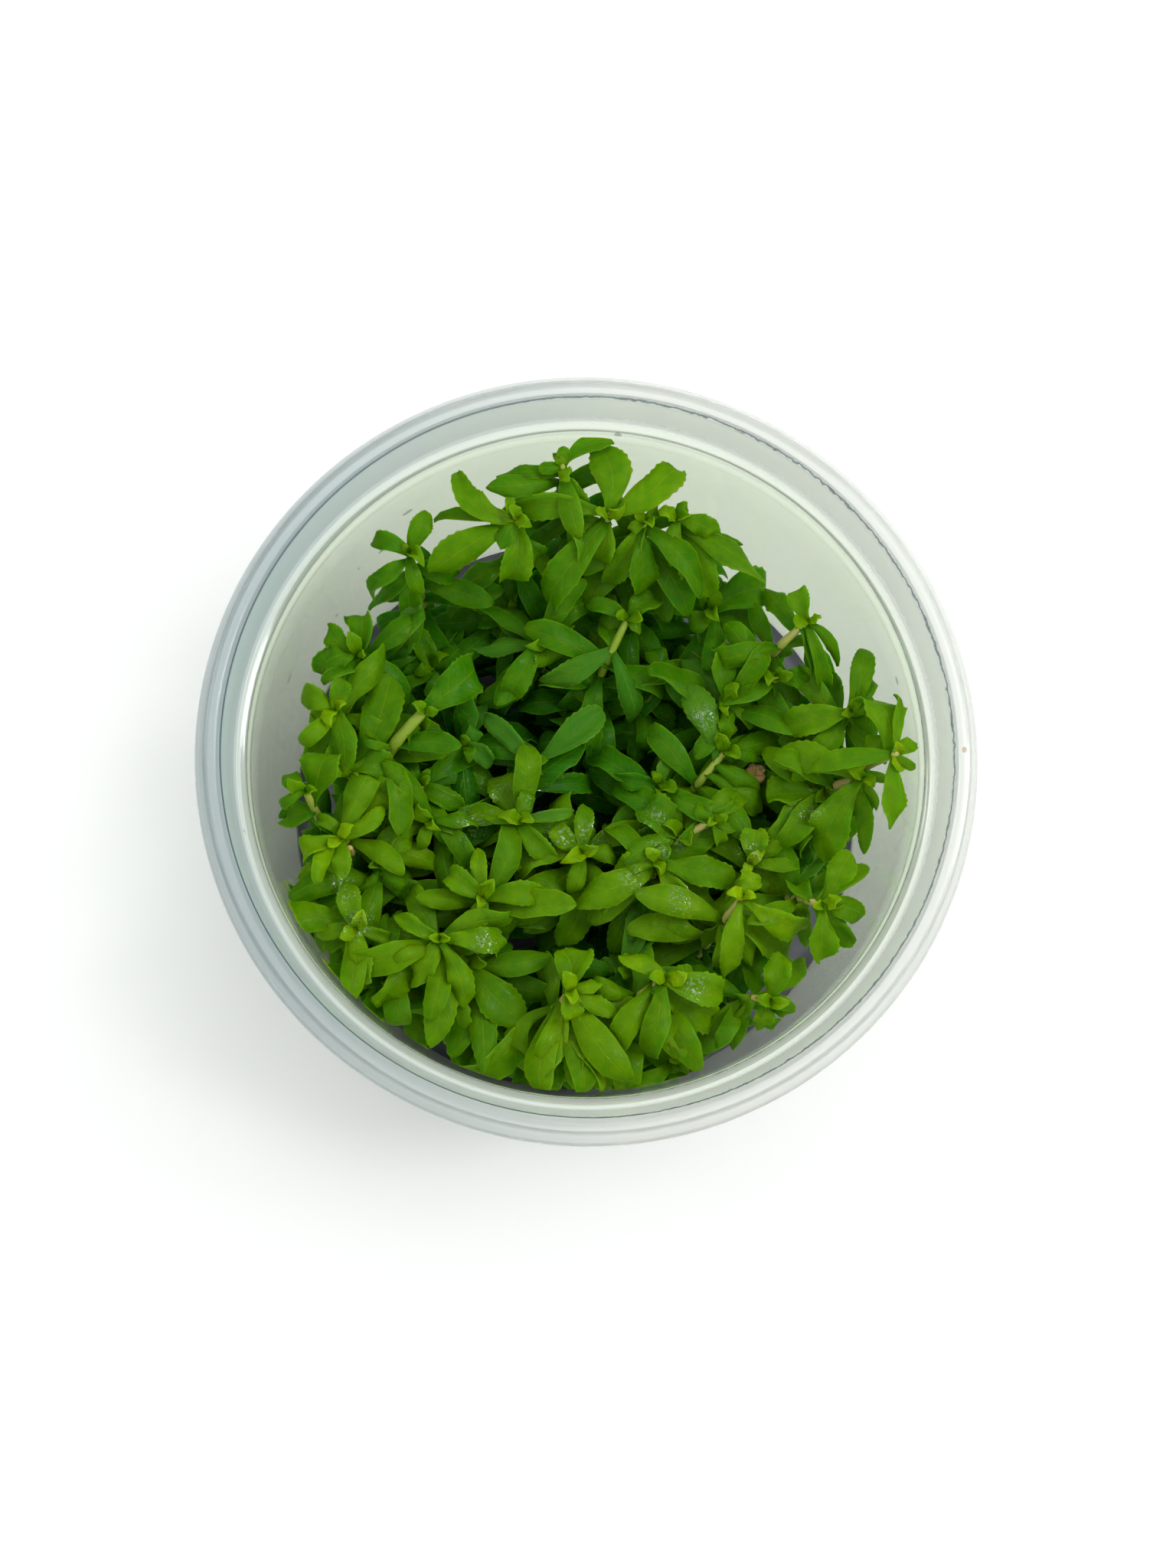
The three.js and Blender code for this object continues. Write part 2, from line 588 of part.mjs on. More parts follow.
// The profile runs out under the floor, up the outside, over the rim and down the inside.
function cupBody() {
  const corner = new THREE.EllipseCurve(footOuter, cornerHeight,
    outerRadius(cornerHeight) - footOuter, cornerHeight, -Math.PI / 2, 0).getPoints(cornerSteps);
  const insideCorner = floorTop + cornerHeight;
  return turned([
    [0, floorUnder], [footInner - footSlope, floorUnder], [footInner, 0],
    ...corner.map((point) => [point.x, point.y]),
    [outerRadius(mouthHeight), mouthHeight - shelfDrop],
    [seatRadius + wallThickness, seatHeight - shelfDrop],
    [flangeInnerRadius + wallThickness, cupHeight - wallThickness],
    [flangeOuterRadius - wallThickness / 2, cupHeight - wallThickness],
    [rimRadius - wallThickness, skirtTop], [rimRadius - wallThickness, skirtBottom],
    [rimRadius, skirtBottom], [rimRadius, skirtTop],
    [flangeOuterRadius, cupHeight], [flangeInnerRadius, cupHeight],
    [seatRadius, seatHeight], [mouthRadius, mouthHeight],
    [innerRadius(insideCorner), insideCorner], [floorEdge, floorTop], [0, floorTop],
  ]);
}

// The gel lies on the floor, climbs the wall a little and has set round each stem.
function gelBody() {
  const reach = (z) => innerRadius(z) - pieceGap;
  const floor = floorTop + pieceGap;
  const disc = turned([
    [0, floor], [floorEdge - pieceGap, floor],
    [reach(floor + cornerHeight), floor + cornerHeight],
    [reach(gelTop + meniscusRise), gelTop + meniscusRise],
    [reach(gelTop) - meniscusWidth, gelTop], [0, gelTop],
  ]);
  return stemRooms.reduce((gel, room) => gel.subtract(room), disc);
}

const plastic = new THREE.MeshStandardMaterial({
  color: 0xdfe6e0, roughness: 0.12, metalness: 0, transparent: true, opacity: 0.35,
});
const agar = new THREE.MeshStandardMaterial({ color: 0x6f7280, roughness: 0.25, metalness: 0 });
const driedEnd = new THREE.MeshStandardMaterial({ color: 0xb59a5a, roughness: 0.7, metalness: 0 });
const leafGreens = [0x5c9404, 0x4a8403, 0x6da306, 0x3f7503];
const leafRoughness = 0.45;

const jarOfPlants = new THREE.Group();

function addPiece(name, solid, material) {
  const mesh = new THREE.Mesh(toGeometry(solid), material);
  mesh.name = name;
  jarOfPlants.add(mesh);
}

function addShoots() {
  growShoots().forEach((solid, index) => {
    const color = leafGreens[index % leafGreens.length];
    const leafSkin = new THREE.MeshStandardMaterial({ color, roughness: leafRoughness, metalness: 0 });
    addPiece(`shoot_${String(index + 1).padStart(2, '0')}`, solid, leafSkin);
  });
}

addPiece('cup', cupBody(), plastic);
addPiece('gel', gelBody(), agar);
addShoots();
addPiece('cut_stem', stubStem(0), driedEnd);

export default jarOfPlants;
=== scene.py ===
# A clear plastic culture cup with set gel and a dense stand of leafy aquarium shoots.
import math
import random
from functools import partial

import bmesh
import bpy
import numpy as np
from mathutils import Matrix, Vector


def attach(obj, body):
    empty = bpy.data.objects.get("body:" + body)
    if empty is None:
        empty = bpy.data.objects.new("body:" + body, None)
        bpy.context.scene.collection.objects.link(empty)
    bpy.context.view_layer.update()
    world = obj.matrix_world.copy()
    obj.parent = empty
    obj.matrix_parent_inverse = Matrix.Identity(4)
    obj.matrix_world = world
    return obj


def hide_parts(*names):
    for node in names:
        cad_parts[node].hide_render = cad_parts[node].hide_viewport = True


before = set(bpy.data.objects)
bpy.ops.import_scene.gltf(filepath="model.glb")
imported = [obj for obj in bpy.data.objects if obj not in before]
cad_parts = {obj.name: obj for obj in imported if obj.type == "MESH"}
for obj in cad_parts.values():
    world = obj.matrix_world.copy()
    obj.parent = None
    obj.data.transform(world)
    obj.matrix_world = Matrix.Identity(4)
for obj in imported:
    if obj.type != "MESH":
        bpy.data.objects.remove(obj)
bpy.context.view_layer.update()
mm = 0.001


def linearColour(hexText):  # sRGB hex to the linear values that shaders take
    channels = [int(hexText[i:i + 2], 16) / 255 for i in (1, 3, 5)]
    linear = [c / 12.92 if c <= 0.04045 else ((c + 0.055) / 1.055) ** 2.4 for c in channels]
    return (*linear, 1.0)


# A setting that is a node or a socket is linked, and a node then stands for its first output.
def addNode(tree, kind, settings=None):
    node = tree.nodes.new("ShaderNode" + kind)
    for key, value in (settings or {}).items():
        if key == "stops":
            ramp = node.color_ramp.elements
            while len(ramp) < len(value):
                ramp.new(0.5)
            for element, (place, colour) in zip(ramp, value):
                element.position = place
                element.color = linearColour(colour) if isinstance(colour, str) else (colour,) * 3 + (1,)
        elif isinstance(value, (bpy.types.Node, bpy.types.NodeSocket)):
            source = value.outputs[0] if isinstance(value, bpy.types.Node) else value
            tree.links.new(source, node.inputs[key])
        elif isinstance(key, int) or key in node.inputs:
            node.inputs[key].default_value = value
        else:
            setattr(node, key, value)
    return node


# What each point of a plantlet holds for its materials to read
surfaceValues = ("leafTone", "leafBlue", "leafWet", "stemBlush")


def newMaterial(name):
    material = bpy.data.materials.new(name)
    material.use_nodes = True
    material.node_tree.nodes.clear()
    return material, partial(addNode, material.node_tree)


# Leaf of a young aquatic stem plant: fleshy, waxy and a little see-through, so it takes a soft
# sheen from above and glows yellow-green where light comes through it. Sizes are in millimetres.
leafLook = {
    "deep": "#165a00", "old": "#2f6a00", "grown": "#4b7900", "fresh": "#638d00", "tip": "#86a903",
    "blueCast": "#467b22", "paleEdgeAndHighlight": "#86ab20", "roughness": 0.5, "wetSheen": 0.9, "drySheen": 0.02,
    "sheenIor": 2.1, "mottle": 0.46, "mottleSize": 1.7, "veinPairs": 9, "veinSlant": 0.16,
    "veinShare": 0.3, "veinDepth": 1.8, "paleShare": 0.2, "grainSize": 0.35, "grainHeight": 0.12,
    "dropSize": 0.45, "dropHeight": 8.0, "glow": 0.5, "glowReach": (0.45, 1.0, 0.04), "glowSize": 1.3,
    "ior": 1.42, "gloss": 0.04, "sheenRoughness": 0.05, "bump": 0.35,
}


def leafMaterial():
    look = leafLook
    material, add = newMaterial("waxyLeafBlade")
    tone, blue, wet = [add("Attribute", {"attribute_name": label}).outputs["Fac"]
                       for label in surfaceValues[:3]]
    place = add("TexCoord").outputs["Object"]
    parts = add("SeparateXYZ", {0: add("UVMap", {"uv_map": "leafMap"})})
    # Distance from the midrib: 0 on it and 1 at the margin
    offset = add("Math", {"operation": "SUBTRACT", 0: parts.outputs["X"], 1: 0.5})
    away = add("Math", {"operation": "ABSOLUTE", 0: offset})
    reach = add("Math", {"operation": "MULTIPLY", 0: away, 1: 2.0})
    mottle = add("TexNoise", {"Scale": 1 / (look["mottleSize"] * mm), "Detail": 3.0, "Vector": place})
    spread = add("Math", {"operation": "MULTIPLY_ADD", 0: mottle, 1: look["mottle"],
                          2: -look["mottle"] / 2})
    mixedTone = add("Math", {"operation": "ADD", 0: tone, 1: spread})
    green = add("ValToRGB", {"stops": [
        (0.0, look["deep"]), (0.28, look["old"]), (0.52, look["grown"]), (0.78, look["fresh"]),
        (1.0, look["tip"])], "Fac": mixedTone})
    cast = add("Mix", {"data_type": "RGBA", 0: blue, 6: green, 7: linearColour(look["blueCast"])})
    # Side veins run forward from the midrib at a slant
    slant = add("Math", {"operation": "MULTIPLY_ADD", 0: reach, 1: -look["veinSlant"],
                         2: parts.outputs["Y"]})
    ripple = add("Math", {"operation": "MULTIPLY", 0: slant, 1: 2 * math.pi * look["veinPairs"]})
    wave = add("Math", {"operation": "SINE", 0: ripple})
    vein = add("MapRange", {"Value": wave, "From Min": 0.8, "From Max": 1.0})
    midrib = add("MapRange", {"Value": reach, "From Min": 0.07, "From Max": 0.0})
    lines = add("Math", {"operation": "MULTIPLY_ADD", 0: vein, 1: look["veinShare"], 2: midrib})
    # The pale band along the margin is partly the leaf's own paler edge and partly painted highlight where
    # light catches the edge
    edge = add("MapRange", {"Value": reach, "From Min": 0.9, "From Max": 1.0, "To Max": 0.9})
    pale = add("Math", {"operation": "MAXIMUM", 0: lines, 1: edge})
    paleShare = add("Math", {"operation": "MULTIPLY", 0: pale, 1: look["paleShare"]})
    colour = add("Mix", {"data_type": "RGBA", 0: paleShare, 6: cast.outputs[2],
                         7: linearColour(look["paleEdgeAndHighlight"])})
    # Fine grain of the skin with the veins sunk in, and beads of water where the leaf is wet
    grain = add("TexNoise", {"Scale": 1 / (look["grainSize"] * mm), "Detail": 2.0, "Vector": place})
    droplets = add("TexNoise", {"Scale": 1 / (look["dropSize"] * mm), "Detail": 1.0, "Vector": place})
    beads = add("MapRange", {"Value": droplets, "From Min": 0.5, "From Max": 0.57})
    wetness = add("Math", {"operation": "MULTIPLY", 0: beads, 1: wet})
    relief = add("Math", {"operation": "MULTIPLY_ADD", 0: wetness, 1: look["dropHeight"], 2: grain})
    sunk = add("Math", {"operation": "MULTIPLY_ADD", 0: lines, 1: -look["veinDepth"], 2: relief})
    bump = add("Bump", {"Strength": look["bump"], "Distance": look["grainHeight"] * mm, "Height": sunk})
    sheen = add("MapRange", {"Value": wetness, "To Min": look["drySheen"], "To Max": look["wetSheen"]})
    shader = add("BsdfPrincipled", {
        "Base Color": colour.outputs[2], "Roughness": look["roughness"], "IOR": look["ior"],
        "Specular IOR Level": look["gloss"], "Coat Weight": sheen, "Coat Roughness": look["sheenRoughness"],
        "Coat IOR": look["sheenIor"], "Subsurface Weight": look["glow"],
        "Subsurface Radius": look["glowReach"], "Subsurface Scale": look["glowSize"] * mm,
        "Normal": bump, "Coat Normal": bump})
    add("OutputMaterial", {"Surface": shader})
    return material


# Juicy green stem skin that blushes cream to pink-brown where light reaches it
stemLook = {"green": "#7d9c1c", "cream": "#a9b552", "blush": "#b99b66", "roughness": 0.42,
            "mottle": 0.3, "mottleSize": 1.2, "fibreSize": 0.25, "fibreHeight": 0.06, "bump": 0.15,
            "ior": 1.4, "glow": 0.3, "glowReach": (1.0, 0.8, 0.3), "glowSize": 0.8}


def stemMaterial():
    look = stemLook
    material, add = newMaterial("juicyStemSkin")
    blush = add("Attribute", {"attribute_name": "stemBlush"}).outputs["Fac"]
    place = add("TexCoord").outputs["Object"]
    mottle = add("TexNoise", {"Scale": 1 / (look["mottleSize"] * mm), "Detail": 3.0, "Vector": place})
    spread = add("Math", {"operation": "MULTIPLY_ADD", 0: mottle, 1: look["mottle"],
                          2: -look["mottle"] / 2})
    share = add("Math", {"operation": "ADD", 0: blush, 1: spread})
    skin = add("ValToRGB", {"stops": [
        (0.05, look["green"]), (0.55, look["cream"]), (1.0, look["blush"])], "Fac": share})
    fibre = add("TexNoise", {"Scale": 1 / (look["fibreSize"] * mm), "Detail": 2.0, "Vector": place})
    bump = add("Bump", {"Strength": look["bump"], "Distance": look["fibreHeight"] * mm, "Height": fibre})
    shader = add("BsdfPrincipled", {
        "Base Color": skin, "Roughness": look["roughness"], "IOR": look["ior"],
        "Subsurface Weight": look["glow"], "Subsurface Radius": look["glowReach"],
        "Subsurface Scale": look["glowSize"] * mm, "Normal": bump})
    add("OutputMaterial", {"Surface": shader})
    return material


# Injection-moulded clear polypropylene: see-through with a faint milky haze and soft gloss.
# Lamps shine through it, so that the plants inside are lit from the sides too.
cupLook = {
    "wall": "#edf5e3", "paintedEdgeShade": "#8d9a94", "shelf": "#f6f8f6", "paintedGlint": "#ffffff", "seat": "#fcfff9",
    "paintedStepShade": "#6c7b85", "flange": "#ecefea", "skirt": "#e0e3df", "paintedLeftShade": "#d3dde2",
    "mark": "#5f6864", "speck": "#b08a5a", "roughness": 0.07, "worn": 0.06, "ior": 1.49,
    "lampShare": 0.86, "flowSize": 9, "flowHeight": 0.25, "bump": 0.02, "scuffSize": 1.3,
    "scuffHeight": 0.012, "jagSize": 0.9, "jag": 0.35, "jagFrom": -15, "jagFull": 15, "bandShift": -0.12,
    "leftShadeFrom": 5, "leftShadeFull": -40, "clearBelow": 48.5, "milkyAbove": 50.5, "shiftBelow": (54.9, 54.4),
    "shiftBeyond": (46.2, 46.3), "markShare": 0.8,
}
# Colour and milkiness of the rim by radius. The dark lines at the mouth's edge and at the step are painted
# shade, and the white glint lines on the bead are painted highlights
rimBands = [(43.5, "wall", 0.05), (43.66, "paintedEdgeShade", 0.2), (43.8, "paintedEdgeShade", 0.2), (43.95, "shelf", 0.62),
            (44.98, "shelf", 0.62), (45.03, "paintedGlint", 0.85), (45.1, "paintedGlint", 0.85), (45.15, "shelf", 0.62),
            (45.25, "shelf", 0.62), (45.29, "paintedGlint", 0.65), (45.33, "paintedGlint", 0.65), (45.4, "seat", 0.5),
            (46.42, "seat", 0.5), (46.47, "paintedStepShade", 0.45), (46.57, "paintedStepShade", 0.45),
            (46.64, "flange", 0.34), (48.9, "flange", 0.34), (49.5, "skirt", 0.36)]
# Scratches and dried drops on the cup: degrees round it, radius (0 for the wall), height, length, width
cupMarks = [(161, 0, 32.2, 1.3, 0.14), (136.5, 0, 33.3, 0.4, 0.14), (130, 0, 32.5, 2.4, 0.14),
            (124, 0, 39.2, 1.5, 0.16), (124, 0, 33, 0.5, 0.14), (144.5, 0, 26.5, 0.5, 0.16),
            (16, 0, 43, 0.9, 0.2), (193, 45.3, 49.7, 0.7, 0.2), (84.7, 43.9, 49.1, 0.8, 0.2)]
rimSpeck = (0, 47.8, 56, 0.5, 0.2)


def cupMaterial():
    look = cupLook
    material, add = newMaterial("clearPolypropylene")
    place = add("TexCoord").outputs["Object"]
    flow = add("TexNoise", {"Scale": 1 / (look["flowSize"] * mm), "Detail": 2.0, "Vector": place})
    scuff = add("TexNoise", {"Scale": 1 / (look["scuffSize"] * mm), "Detail": 4.0, "Vector": place})
    height = add("Math", {"operation": "MULTIPLY_ADD", 0: scuff, 1: look["scuffHeight"], 2: flow})
    bump = add("Bump", {"Strength": look["bump"], "Distance": look["flowHeight"] * mm, "Height": height})
    worn = add("MapRange", {"Value": scuff, "From Min": 0.35, "From Max": 0.75,
                            "To Min": look["roughness"], "To Max": look["roughness"] + look["worn"]})
    # The rim is thicker than the wall, so it looks more milky, and its bands paint a dark shade line at
    # each step and highlight lines on the bead
    parts = add("SeparateXYZ", {0: place})
    inRim = add("MapRange", {"Value": parts.outputs["Z"], "From Min": look["clearBelow"] * mm,
                             "From Max": look["milkyAbove"] * mm})
    level = add("CombineXYZ", {0: parts.outputs["X"], 1: parts.outputs["Y"]})
    fromAxis = add("VectorMath", {"operation": "LENGTH", 0: level}).outputs["Value"]
    # Noise jags the band edges, and with them the painted shade and highlight lines, more towards the right
    jagNoise = add("TexNoise", {"Scale": 1 / (look["jagSize"] * mm), "Detail": 2.0, "Vector": place})
    jagged = add("MapRange", {"Value": parts.outputs["X"], "From Min": look["jagFrom"] * mm,
                              "From Max": look["jagFull"] * mm, "To Max": look["jag"] * mm})
    bothWays = add("Math", {"operation": "SUBTRACT", 0: jagNoise, 1: 0.5})
    jaggedRadius = add("Math", {"operation": "MULTIPLY_ADD", 0: bothWays, 1: jagged, 2: fromAxis})
    first, last = rimBands[0][0], rimBands[-1][0]
    outward = add("MapRange", {"Value": jaggedRadius, "From Min": first * mm, "From Max": last * mm})
    # Behind the seat the bands move outward, so that the step's painted shade line stays on its upper edge
    below, behind = [add("MapRange", {
        "Value": value, "From Min": reach[0] * mm, "From Max": reach[1] * mm, "To Max": full})
        for value, reach, full in ((parts.outputs["Z"], look["shiftBelow"], 1.0),
                                   (fromAxis, look["shiftBeyond"], look["bandShift"]))]
    across = add("Math", {"operation": "MULTIPLY_ADD", 0: below, 1: behind, 2: outward})
    bands, milky = [add("ValToRGB", {"stops": [
        ((row[0] - first) / (last - first), look[row[1]] if column == 1 else row[2]) for row in rimBands],
        "Fac": across}) for column in (1, 2)]
    clear = add("MapRange", {"Value": inRim, "To Min": 1 - rimBands[0][2], "To Max": 1.0})
    rimMilk = add("Math", {"operation": "MULTIPLY", 0: milky, 1: inRim})
    passing = add("Math", {"operation": "SUBTRACT", 0: clear, 1: rimMilk})
    # The rim is painted darker and bluer towards the left, as painted shade on the side away from the light
    paintedShadeToLeft = add("MapRange", {"Value": parts.outputs["X"], "From Min": look["leftShadeFrom"] * mm,
                              "From Max": look["leftShadeFull"] * mm})
    rim = add("Mix", {"data_type": "RGBA", "blend_type": "MULTIPLY", 0: paintedShadeToLeft, 6: bands,
                      7: linearColour(look["paintedLeftShade"])})
    tint = add("Mix", {"data_type": "RGBA", 0: inRim, 6: linearColour(look["wall"]), 7: rim.outputs[2]})
    for mark in cupMarks + [rimSpeck]:
        degrees, radius, height, length, width = mark
        radius = radius or float(innerRadius(height))
        turns = [math.radians(degrees) + side * length / 2 / radius for side in (-1, 1)]
        gaps = [add("VectorMath", {"operation": "DISTANCE", 0: place, 1: (
            radius * math.cos(turn) * mm, radius * math.sin(turn) * mm, height * mm)}) for turn in turns]
        total = add("Math", {"operation": "ADD", 0: gaps[0].outputs["Value"], 1: gaps[1].outputs["Value"]})
        share = add("MapRange", {"Value": total, "From Min": (length + 2 * width) * mm,
                                 "From Max": (length + width) * mm, "To Max": look["markShare"]})
        tint = add("Mix", {"data_type": "RGBA", 0: share, 6: tint.outputs[2],
                           7: linearColour(look["speck" if mark == rimSpeck else "mark"])})
    shader = add("BsdfPrincipled", {
        "Base Color": tint.outputs[2], "Roughness": worn, "IOR": look["ior"],
        "Transmission Weight": passing, "Normal": bump})
    lamp = add("BsdfTransparent", {"Color": (look["lampShare"],) * 3 + (1,)})
    surface = add("MixShader", {0: add("LightPath").outputs["Is Shadow Ray"], 1: shader, 2: lamp})
    add("OutputMaterial", {"Surface": surface})
    return material


# Set culture gel: cloudy grey with a violet cast, and a wet, slightly uneven surface. Its dark colour is
# partly painted shade, standing for the shade under the plants and the dark ground seen through the gel
gelLook = {"body": "#6c7080", "cloud": "#8d8c96", "roughness": 0.12, "cloudSize": 7.0, "swellSize": 2.2,
           "swellHeight": 0.4, "bump": 0.3, "ior": 1.34, "clear": 0.35}


def gelMaterial():
    look = gelLook
    material, add = newMaterial("cloudySetGel")
    place = add("TexCoord").outputs["Object"]
    cloud = add("TexNoise", {"Scale": 1 / (look["cloudSize"] * mm), "Detail": 4.0, "Vector": place})
    colour = add("ValToRGB", {"stops": [(0.35, look["body"]), (0.7, look["cloud"])], "Fac": cloud})
    swell = add("TexNoise", {"Scale": 1 / (look["swellSize"] * mm), "Detail": 2.0, "Vector": place})
    bump = add("Bump", {"Strength": look["bump"], "Distance": look["swellHeight"] * mm, "Height": swell})
    shader = add("BsdfPrincipled", {
        "Base Color": colour, "Roughness": look["roughness"], "IOR": look["ior"],
        "Transmission Weight": look["clear"], "Normal": bump})
    add("OutputMaterial", {"Surface": shader})
    return material


# Cut end of a thick stem, dried to pale tan with darker cracks
cutLook = {"tan": "#cfaa66", "crack": "#8a6232", "roughness": 0.75, "crackGap": 1.5, "crackDepth": 0.15,
           "bump": 0.6, "fibreSize": 0.4}


def cutEndMaterial():
    look = cutLook
    material, add = newMaterial("driedCutEnd")
    place = add("TexCoord").outputs["Object"]
    cells = add("TexVoronoi", {"feature": "DISTANCE_TO_EDGE", "Scale": 1 / (look["crackGap"] * mm),
                               "Vector": place}).outputs["Distance"]
    fibre = add("TexNoise", {"Scale": 1 / (look["fibreSize"] * mm), "Detail": 3.0, "Vector": place})
    colour = add("ValToRGB", {"stops": [(0.0, look["crack"]), (0.06, look["tan"])], "Fac": cells})
    height = add("Math", {"operation": "ADD", 0: cells, 1: fibre})
    bump = add("Bump", {"Strength": look["bump"], "Distance": look["crackDepth"] * mm, "Height": height})
    shader = add("BsdfPrincipled", {
        "Base Color": colour, "Roughness": look["roughness"], "Normal": bump})
    add("OutputMaterial", {"Surface": shader})
    return material


# Where and how big the cup and gel are, in millimetres, as radius and height
cupSize = {
    "mouthRadius": 43.75, "mouthHeight": 49.0, "baseRadius": 40.0, "wall": 0.8, "sides": 256,
    "foot": [(33.0, 0.8), (33.45, 0.62), (33.75, 0.2), (34.05, 0.0), (36.9, 0.0)],
    "corner": [(37.6, 0.12), (38.7, 0.55), (39.8, 1.3), (40.6, 2.1), (40.95, 3.0)],
    "shelfUnder": [(44.62, 48.2), (45.0, 48.6), (45.6, 48.85), (46.0, 49.3), (46.12, 50.6)],
    "skirtUnder": [(46.95, 54.5), (47.2, 55.0), (47.7, 55.2), (48.15, 55.1), (49.05, 53.7),
                   (49.2, 53.3), (49.2, 51.5), (49.35, 51.4)],
    "skirt": [(49.85, 51.4), (50.0, 51.55), (50.0, 53.4), (49.9, 53.75), (48.85, 55.6),
              (48.6, 55.9), (48.3, 56.0)],
    "flange": [(46.8, 56.0), (46.62, 55.96), (46.5, 55.8), (46.42, 55.5)],
    "seat": [(46.15, 54.6), (45.45, 51.4), (45.3, 50.6), (45.18, 50.15), (44.95, 49.8),
             (44.6, 49.62), (44.15, 49.52), (43.9, 49.35), (43.77, 49.1)],
    "insideCorner": [(40.15, 4.9), (39.6, 3.4), (38.5, 2.3), (37.3, 1.8), (36.6, 1.7)],
    "wallRings": [6.0, 10.0, 16.0, 24.0, 32.0, 40.0, 46.0],
}
gelSize = {
    "sides": 160, "gap": 0.05, "side": (5.2, 7.0),
    "under": [(36.3, 1.78), (37.5, 1.95), (38.8, 2.6), (39.8, 3.8)],
    "climb": [(0.0, 8.45), (0.25, 8.35), (0.7, 8.05), (1.5, 7.87), (3.0, 7.8), (12.0, 7.8)],
}
smoothAngle = 38  # degrees between faces up to which a piece is shaded smooth


def innerRadius(height):  # the inside of the cup's wall, in millimetres
    size = cupSize
    slope = (size["mouthRadius"] - size["baseRadius"]) / size["mouthHeight"]
    return size["mouthRadius"] - (size["mouthHeight"] - np.minimum(height, size["mouthHeight"])) * slope


def selectWhere(body, test):  # in edit mode, selects the vertices that pass and nothing else
    bpy.ops.mesh.select_all(action="DESELECT")
    mesh = bmesh.from_edit_mesh(body.data)
    for vertex in mesh.verts:
        vertex.select = bool(test(vertex.co))
    mesh.select_flush(True)
    bmesh.update_edit_mesh(body.data)


def drawOutRings(name, profile, sides):
    # A circle is drawn out ring by ring along the profile, and both ends are then closed.
    points = [(radius * mm, height * mm) for radius, height in profile]
    bpy.ops.object.select_all(action="DESELECT")
    bpy.ops.mesh.primitive_circle_add(vertices=sides, radius=points[0][0], location=(0, 0, points[0][1]))
    body = bpy.context.object
    body.name = name
    bpy.ops.object.transform_apply(location=True, rotation=True, scale=True)
    bpy.ops.object.mode_set(mode="EDIT")
    bpy.ops.mesh.select_all(action="SELECT")
    for before, after in zip(points, points[1:]):
        share = after[0] / before[0]
        bpy.ops.mesh.extrude_region_move(TRANSFORM_OT_translate={"value": (0, 0, after[1] - before[1])})
        bpy.ops.transform.resize(value=(share, share, 1), center_override=(0, 0, 0))
    bpy.ops.mesh.edge_face_add()
    first = points[0]
    selectWhere(body, lambda co: abs(co.z - first[1]) < 1e-6 and abs(co.xy.length - first[0]) < 1e-6)
    bpy.ops.mesh.edge_face_add()
    bpy.ops.mesh.select_all(action="SELECT")
    bpy.ops.mesh.normals_make_consistent(inside=False)
    bpy.ops.object.mode_set(mode="OBJECT")
    bpy.ops.object.shade_smooth_by_angle(angle=math.radians(smoothAngle))
    return body


def makeCup():
    size = cupSize
    outside = [(float(innerRadius(z)) + size["wall"], z) for z in size["wallRings"]]
    inside = [(float(innerRadius(z)), z) for z in reversed(size["wallRings"])]
    profile = (size["foot"] + size["corner"] + outside + size["shelfUnder"] + size["skirtUnder"]
               + size["skirt"] + size["flange"] + size["seat"] + inside + size["insideCorner"])
    return drawOutRings("culture_cup", profile, size["sides"])


def makeGel():
    size = gelSize
    climb = [(float(innerRadius(z)) - size["gap"] - step, z) for step, z in size["climb"]]
    side = [(float(innerRadius(z)) - size["gap"], z) for z in size["side"]]
    return drawOutRings("set_gel", size["under"] + side + climb, size["sides"])


# The forms that the leaves are copied from: how far along a leaf is broadest, how wide its foot is
# against that, how slowly it widens, how pointed its tip is, and where its teeth start and stand
formParts = ("broadest", "foot", "waist", "point", "toothStart", "tooth")
leafForms = {name: dict(zip(formParts, row)) for name, row in {
    "spoon": (0.62, 0.27, 1.1, 0.52, 0.5, 0.09), "paddle": (0.66, 0.22, 1.3, 0.5, 0.55, 0.11),
    "oblong": (0.54, 0.38, 0.8, 0.58, 0.5, 0.09), "lance": (0.56, 0.31, 0.95, 0.7, 0.5, 0.1),
    "young": (0.55, 0.4, 0.9, 0.62, 0.5, 0.12), "lower": (0.56, 0.3, 1.0, 0.56, 0.6, 0.08),
}.items()}
fineRows = [0, 0.1, 0.2, 0.3, 0.39, 0.46, 0.52, 0.565, 0.61, 0.655, 0.7, 0.745, 0.79, 0.83, 0.87, 0.905,
            0.94, 0.965, 0.988, 1.0]
coarseRows = [0, 0.14, 0.3, 0.46, 0.6, 0.7, 0.8, 0.89, 0.96, 1.0]
fineForms = ("spoon", "paddle", "oblong", "lance")
narrowestShare = 0.08  # of a leaf's greatest width, at its very tip
formDepth = 0.1  # how thick a form is before it is scaled to the leaf


def formRows(form):  # pairs of how far along a leaf is and how wide it is there
    rows = []
    for along in form["places"]:
        if along < form["broadest"]:
            rise = along / form["broadest"]
            share = form["foot"] + (1 - form["foot"]) * (rise * rise * (3 - 2 * rise)) ** form["waist"]
        else:
            share = (1 - ((along - form["broadest"]) / (1 - form["broadest"])) ** 2) ** form["point"]
        rows.append((along, max(share, narrowestShare)))
    return rows


